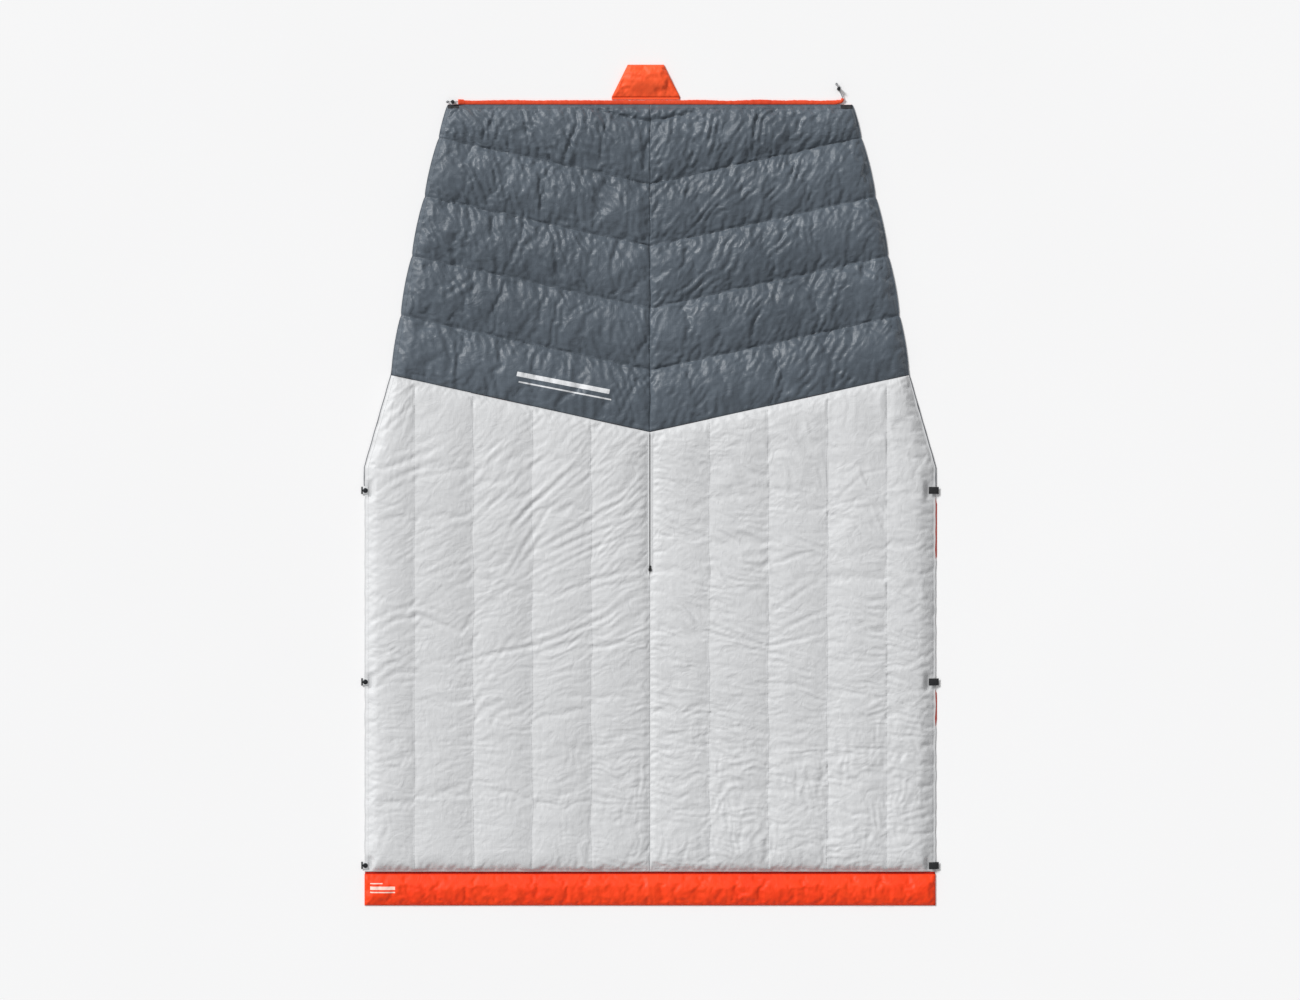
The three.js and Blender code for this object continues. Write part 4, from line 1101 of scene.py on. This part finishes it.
# the right end of the cord turns from the hem towards the foot round this point
BEND_X, BEND_Y, BEND_R, BEND_TURN, BEND_STEPS = 455, 928.4, 8, 114, 5


def bend_point(k):
    w = math.radians(BEND_TURN * k / BEND_STEPS - 90)
    z = CORD_LOW + (CORD_HIGH - CORD_LOW) * float(smooth(k / BEND_STEPS))
    return BEND_X + BEND_R * math.cos(w), BEND_Y + BEND_R * math.sin(w), z


def channel():
    """The gathered tunnel for the drawcord, with a flared mouth at each end."""
    rng = np.random.default_rng(101)
    xs = np.concatenate([[-461, -458.5, -455], np.arange(-CHANNEL_HALF, CHANNEL_HALF + 1, 3.0)])
    gather = noise2(xs, xs * 0, 9, 102) + 0.5 * noise2(xs, xs * 0, 4.2, 103)
    edge = np.clip((CHANNEL_HALF - xs) / 12, 0, 1)
    wide = np.clip(4.3 + 2.2 * noise2(xs, xs * 0, 75, 104) + 0.8 * gather, 2.2, 6.2)
    mouth = xs < -CHANNEL_HALF + 6
    wide = np.where(mouth, 6.3, wide)
    tall = np.where(mouth, 3.0, 2.0 + 0.55 * gather)
    z0 = np.where(xs < -CHANNEL_HALF, 4.2, 2.45 + 0.05 * gather)
    sides = 14
    points = []
    for k in range(len(xs)):
        for s in range(sides):
            w = 2 * math.pi * s / sides
            ripple = 1 + 0.05 * rng.normal()
            cy, cz = math.cos(w), math.sin(w)
            cy = math.copysign(abs(cy) ** 0.7, cy)
            reach = wide[k] if cy > 0 else 6.2
            points.append((xs[k], CHANNEL_Y + reach * cy * min(1, 0.6 + edge[k]),
                           max(z0[k] + tall[k] * cz * ripple, 0.15)))
    *walls, first, last = tube_faces(len(xs), sides)
    faces = [f[:1] + f[:0:-1] for f in walls] + [first[::-1], last[::-1]]
    # the right mouth turns up towards the foot with the cord
    path = [(CHANNEL_HALF - 4, CHANNEL_Y, 3.5), (CHANNEL_HALF, CHANNEL_Y, 3.5)]
    for k in range(1, BEND_STEPS):
        x, y, z = bend_point(k)
        path.append((x, y, max(z, 3.5)))
    mouth = tube(path, [5.2, 5.0, 4.4, 4.0, 3.6, 3.9], sides, 0.62)
    # the tunnel wears the darker copy of the orange: painted shade of its gathers
    piece = add_mesh("channel_tunnel", *join_parts([(np.array(points), faces), mouth]),
                     ORANGE_CHANNEL_PAINTED_SHADE)
    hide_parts("foot_channel")
    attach(piece, "quilt")


channel()


def cord_curve(name, points, radius):
    """A round cord along its real route."""
    data = bpy.data.curves.new(name, "CURVE")
    data.dimensions, data.resolution_u = "3D", 6
    data.bevel_depth, data.bevel_resolution = radius * MM, 4
    data.use_fill_caps = True
    spline = data.splines.new("POLY")
    spline.points.add(len(points) - 1)
    for p, c in zip(spline.points, points):
        p.co = (c[0] * MM, c[1] * MM, c[2] * MM, 1)
    spline.use_smooth = True
    data.materials.append(BRAID)
    ob = bpy.data.objects.new(name, data)
    scene.collection.objects.link(ob)
    return ob


def distances(line):
    """How far along a line of points each of them lies."""
    gaps = np.linalg.norm(np.diff(line, axis=0), axis=1)
    return np.concatenate([[0], np.cumsum(gaps)])


def resample(points, count):
    """Evenly spaced points along a route, with its corners rounded."""
    points = np.asarray(points, float)
    at = distances(points)
    want = np.linspace(0, at[-1], count)
    dense = np.stack([np.interp(want, at, points[:, k]) for k in range(3)], 1)
    for _ in range(6):
        dense[1:-1] = (dense[:-2] + 2 * dense[1:-1] + dense[2:]) / 4
    return dense


def knot(x, y, z, turn):
    """A small overhand knot at a cord's end."""
    ring = [(2.4 * math.cos(w), 1.9 * math.sin(w), 1.1 * math.sin(2 * w))
            for w in np.linspace(0, 2 * math.pi * 0.97, 26)]
    return place(tube(ring, 1.25, 8), x, y, z, turn)


left_route = [(-453, CORD_Y, CORD_LOW), (-457, CORD_Y, 3.3), (-463, CORD_Y, 6.0),
              (-467, CORD_Y, CORD_HIGH), (-488, CORD_Y, CORD_HIGH)]
right_route = [(453, CORD_Y, CORD_LOW)]
for k in range(BEND_STEPS + 1):
    right_route.append(bend_point(k))
for run in (8, 20, 32):
    right_route.append((462.308 - 0.40674 * run, 931.654 + 0.91355 * run, CORD_HIGH))
for word, route, turn, back in (("left", left_route, math.pi, 1.6),
                                ("right", right_route, math.radians(BEND_TURN), -2.0)):
    dense = resample(route, 30)
    piece = cord_curve(f"drawcord_{word}", dense, 1.2)
    x, y, z = dense[-1]
    tied = knot(x - back * math.cos(turn), y - back * math.sin(turn), z, turn)
    tie = add_mesh(f"drawcord_knot_{word}", *tied, BRAID)
    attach(piece, "quilt")
    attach(tie, "quilt")
    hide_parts("foot_drawcord")

BUTTON_TRAVEL, SPRING_WIRE, SPRING_TURNS = 2.0, 0.3, 4
for word in ("left", "right"):
    recolour(PLASTIC, f"cord_lock_{word}", f"cord_lock_button_{word}")
    low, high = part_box(f"cord_lock_spring_{word}")
    middle, tall = (low + high) / 2 / MM, (high.z - low.z) / MM
    radius = (high.x - low.x) / 2 / MM - SPRING_WIRE
    climb = tall - 2 * SPRING_WIRE
    coil = [(middle.x + radius * math.cos(w), middle.y + radius * math.sin(w),
             low.z / MM + SPRING_WIRE + climb * w / (2 * math.pi * SPRING_TURNS))
            for w in np.linspace(0, 2 * math.pi * SPRING_TURNS, 24 * SPRING_TURNS)]
    piece = add_mesh(f"cord_lock_coil_{word}", *tube(coil, SPRING_WIRE, 8), STEEL)
    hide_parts(f"cord_lock_spring_{word}")
    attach(piece, f"cord_lock_{word}")
    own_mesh(piece)


# ---- zip
def zip_tapes():
    """Woven tapes with a row of coil teeth along each, meshed in the middle."""
    for side, word in ((-1, "left"), (1, "right")):
        low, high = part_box(f"zip_tape_{word}")
        y0, y1 = low.y / MM, high.y / MM
        x, y = np.meshgrid([0.8, 1.6, 3.2, 6, 9, 11.4, 12.0], np.linspace(y0, y1, 120))
        wave = 0.12 * np.sin(y / 11) * (x - 0.8) / 11
        top = np.stack([x * side, y, 9.3 + wave - 0.15 * (x > 11.5)], -1)
        bottom = top - (0, 0, 0.8)
        if side < 0:
            top, bottom = top[:, ::-1], bottom[:, ::-1]
        parts = [two_sided(top, bottom)]
        tooth = tube([(2.55, 0, 8.5), (1.9, 0.1, 9.75), (0.9, 0.2, 9.95), (0.25, 0.3, 9.3)],
                     [0.34, 0.36, 0.36, 0.42], 6)
        pitch = 1.5
        start = y0 + 2.2 + (0.75 if side > 0 else 0)
        for k in range(int((y1 - y0 - 4.4) / pitch)):
            p = tooth[0] * (side, 1, 1) + (0, start + k * pitch, 0)
            f = tooth[1] if side > 0 else [face[::-1] for face in tooth[1]]
            parts.append((p, f))
        piece = add_mesh(f"zip_tape_{word}_woven", *join_parts(parts), TAPE)
        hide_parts(f"zip_tape_{word}")
        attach(piece, "quilt")


zip_tapes()
recolour(METAL, "zip_slider", "zip_stop_head", "zip_stop_foot")
recolour(PLASTIC, "zip_pull")


# ---- snap tabs
# the right tabs lean over their fold line
PIVOT_X, PIVOT_Z, TAB_TILT, TAB_REACH, TAB_RISE = 694.461, 3.4, math.radians(20), 14, 0.7


def stitches(points, length, width, high):
    """Small raised stitches centred on points of (x, y, z, direction)."""
    parts = []
    for x, y, z, direction in points:
        s = tube([(-length / 2, 0, -0.1), (-length / 4, 0, high * 0.6), (0, 0, high),
                  (length / 4, 0, high * 0.6), (length / 2, 0, -0.1)], width / 2, 5)
        parts.append(place(s, x, y, z, direction))
    return join_parts(parts)


def tab(word, k):
    node = f"side_tab_{word}_{k}"
    low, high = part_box(node)
    y = (low.y + high.y) / 2 / MM
    if word == "left":
        tilt, run, material = 0.0, 18, GREY
        centre, z = (low.x + high.x) / 2 / MM, (low.z + high.z) / 2 / MM
    else:
        tilt, run, material = TAB_TILT, 26, WEBBING
        centre = PIVOT_X - TAB_REACH * math.cos(tilt) + TAB_RISE * math.sin(tilt)
        z = PIVOT_Z + TAB_REACH * math.sin(tilt) + TAB_RISE * math.cos(tilt)
    strip = place(slab(run / 2, 8.5, 0.7), centre, y, z, 0, tilt)
    piece = add_mesh(f"tab_{word}_{k}_webbing", *strip, material)
    if word == "left":
        end = place(slab(2.1, 8.8, 0.95), low.x / MM + 2.3, y, z)
        bar = add_mesh(f"tab_left_{k}_end", *end, WEBBING)
        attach(bar, f"tab_left_{k}")
    span = run / 2 - 1.6
    marks = [(end, row, 0.72, math.pi / 2) for row in np.linspace(-6.6, 6.6, 7)
             for end in (-span, span)]
    sewn = place(stitches(marks, 1.5, 0.45, 0.12), centre, y, z, 0, tilt)
    sewn = add_mesh(f"tab_{word}_{k}_stitches", *sewn, TAPE)
    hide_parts(node)
    for o in (piece, sewn):
        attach(o, f"tab_{word}_{k}")


for k in (1, 2, 3):
    tab("left", k)
    tab("right", k)
    recolour(STEEL, f"snap_stud_{k}", f"snap_socket_{k}")


# ---- edge binding and stitching
for side, word in ((-1, "left"), (1, "right")):
    ys = np.linspace(SHOULDER_Y + 30, -2, 150)
    path = np.stack([side * (half_width(ys) + 0.6 + 0.25 * np.sin(ys / 9)), ys,
                     np.full_like(ys, 1.9)], 1)
    piece = add_mesh(f"edge_binding_{word}", *tube(path, 1.2, 8), BINDING)
    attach(piece, "quilt")


def surface(ob):
    """A skin without its floor, to lay things on."""
    mesh = ob.data
    return BVHTree.FromPolygons([v.co[:] for v in mesh.vertices],
                                [p.vertices[:] for p in mesh.polygons if len(p.vertices) < 9])


def height(tree, x, y):
    """The height of a skin's top at x, y; None beside it."""
    hit = tree.ray_cast(Vector((x * MM, y * MM, 0.08)), Vector((0, 0, -1)))[0]
    return None if hit is None else hit.z / MM


TREES = [surface(o) for o in shells]
# how far in from the edge the hems are stitched
STITCH_IN = 9


def sew(name, trees, lines, material, pitch=3.6, length=2.2):
    """Rows of stitches laid on the skins below them."""
    marks = []
    for line in lines:
        at = distances(line)
        for d in np.arange(pitch / 2, at[-1], pitch):
            x, y = np.interp(d, at, line[:, 0]), np.interp(d, at, line[:, 1])
            x2, y2 = np.interp(d + 1, at, line[:, 0]), np.interp(d + 1, at, line[:, 1])
            for tree in trees:
                z = height(tree, x, y)
                if z is not None:
                    marks.append((x, y, z, math.atan2(y2 - y, x2 - x)))
                    break
    piece = add_mesh(name, *stitches(marks, length, 0.7, 0.35), material)
    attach(piece, "quilt")


def corner_patch(word, tree, x0, x1, y0, y1):
    """A strip of black webbing laid over a foot corner of the skin."""
    x, y = np.meshgrid(np.linspace(x0, x1, 19), np.linspace(y0, y1, 9))
    z = np.full_like(x, HEM_TOP)
    for at in np.ndindex(x.shape):
        high = height(tree, x[at], y[at])
        if high is not None:
            z[at] = high
    top = np.stack([x, y, z + 0.75], -1)
    piece = add_mesh(f"corner_patch_{word}", *two_sided(top, top - (0, 0, 1.1)), WEBBING)
    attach(piece, "quilt")


corner_patch("left", TREES[2], -486, -459, 904.5, 913.2)
corner_patch("right", TREES[3], 458, 486, 903.5, 913.2)


def run(x, y):
    """A line of points; either x or y may be one number for all of them."""
    return np.stack(np.broadcast_arrays(x, y), 1)


def all_stitching():
    """Chamber seams, hems and the zip's edges."""
    step = 8.0
    ys = np.arange(HEAD_Y + HEM + 4, VEE_TIP + 150, step)
    body, foot = [], []
    for side in (-1, 1):
        for c in range(1, CHAMBERS):
            x = c * PITCH
            keep = ys[ys < vee(0, x) - 6]
            stray = seam_wiggle(keep, c - 1) * (1 if c < CHAMBERS - 1 else 0)
            body.append(run(side * (x + stray), keep))
        hem_y = np.arange(HEAD_Y + 10, SHOULDER_Y - 4, step)
        body.append(run(side * (half_width(hem_y) - STITCH_IN), hem_y))
        across = np.arange(10, HEAD_HALF - 10, step)
        body.append(run(side * across, HEAD_Y + STITCH_IN))
        zip_y = np.arange(ZIP_LOW, ZIP_HIGH, step)
        body.append(run(side * 6.6, zip_y))
        for r in range(FOOT_ROWS + 1):
            x = np.arange(4, 600, step)
            y = vee(r, x) + (2.2 if r == 0 else 0)
            keep = (x < half_width(y) - HEM - 4) & (y < FOOT_Y - HEM - 4)
            foot.append(run(side * x[keep], y[keep]))
        hem_y = np.arange(SHOULDER_Y + 4, FOOT_Y - 4, step)
        foot.append(run(side * (half_width(hem_y) - STITCH_IN), hem_y))
        across = np.arange(4, FOOT_HALF - 8, step)
        foot.append(run(side * across, FOOT_Y - STITCH_IN))
    sew("stitching_body", TREES[:2], body, THREAD_LIGHT)
    sew("stitching_foot", TREES[2:], foot, THREAD_DARK)


all_stitching()


# ---- floor and light
FAR = 4e4
floor = add_mesh("floor", [(-FAR, -FAR, 0), (FAR, -FAR, 0), (FAR, FAR, 0), (-FAR, FAR, 0)],
                 [[0, 1, 2, 3]], floor_paper("floor_paper"))
floor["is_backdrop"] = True

sun = bpy.data.objects.new("key", bpy.data.lights.new("key", "SUN"))
sun.data.energy = 3.02
sun.data.angle = math.radians(16)
sun.rotation_euler = Vector((-1.0, 0.9, 0.98)).to_track_quat("Z", "Y").to_euler()
scene.collection.objects.link(sun)
world = bpy.data.worlds.new("studio")
world.use_nodes = True
world.node_tree.nodes["Background"].inputs["Color"].default_value = (0.99, 0.99, 1, 1)
world.node_tree.nodes["Background"].inputs["Strength"].default_value = 0.42
scene.world = world

low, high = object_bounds()
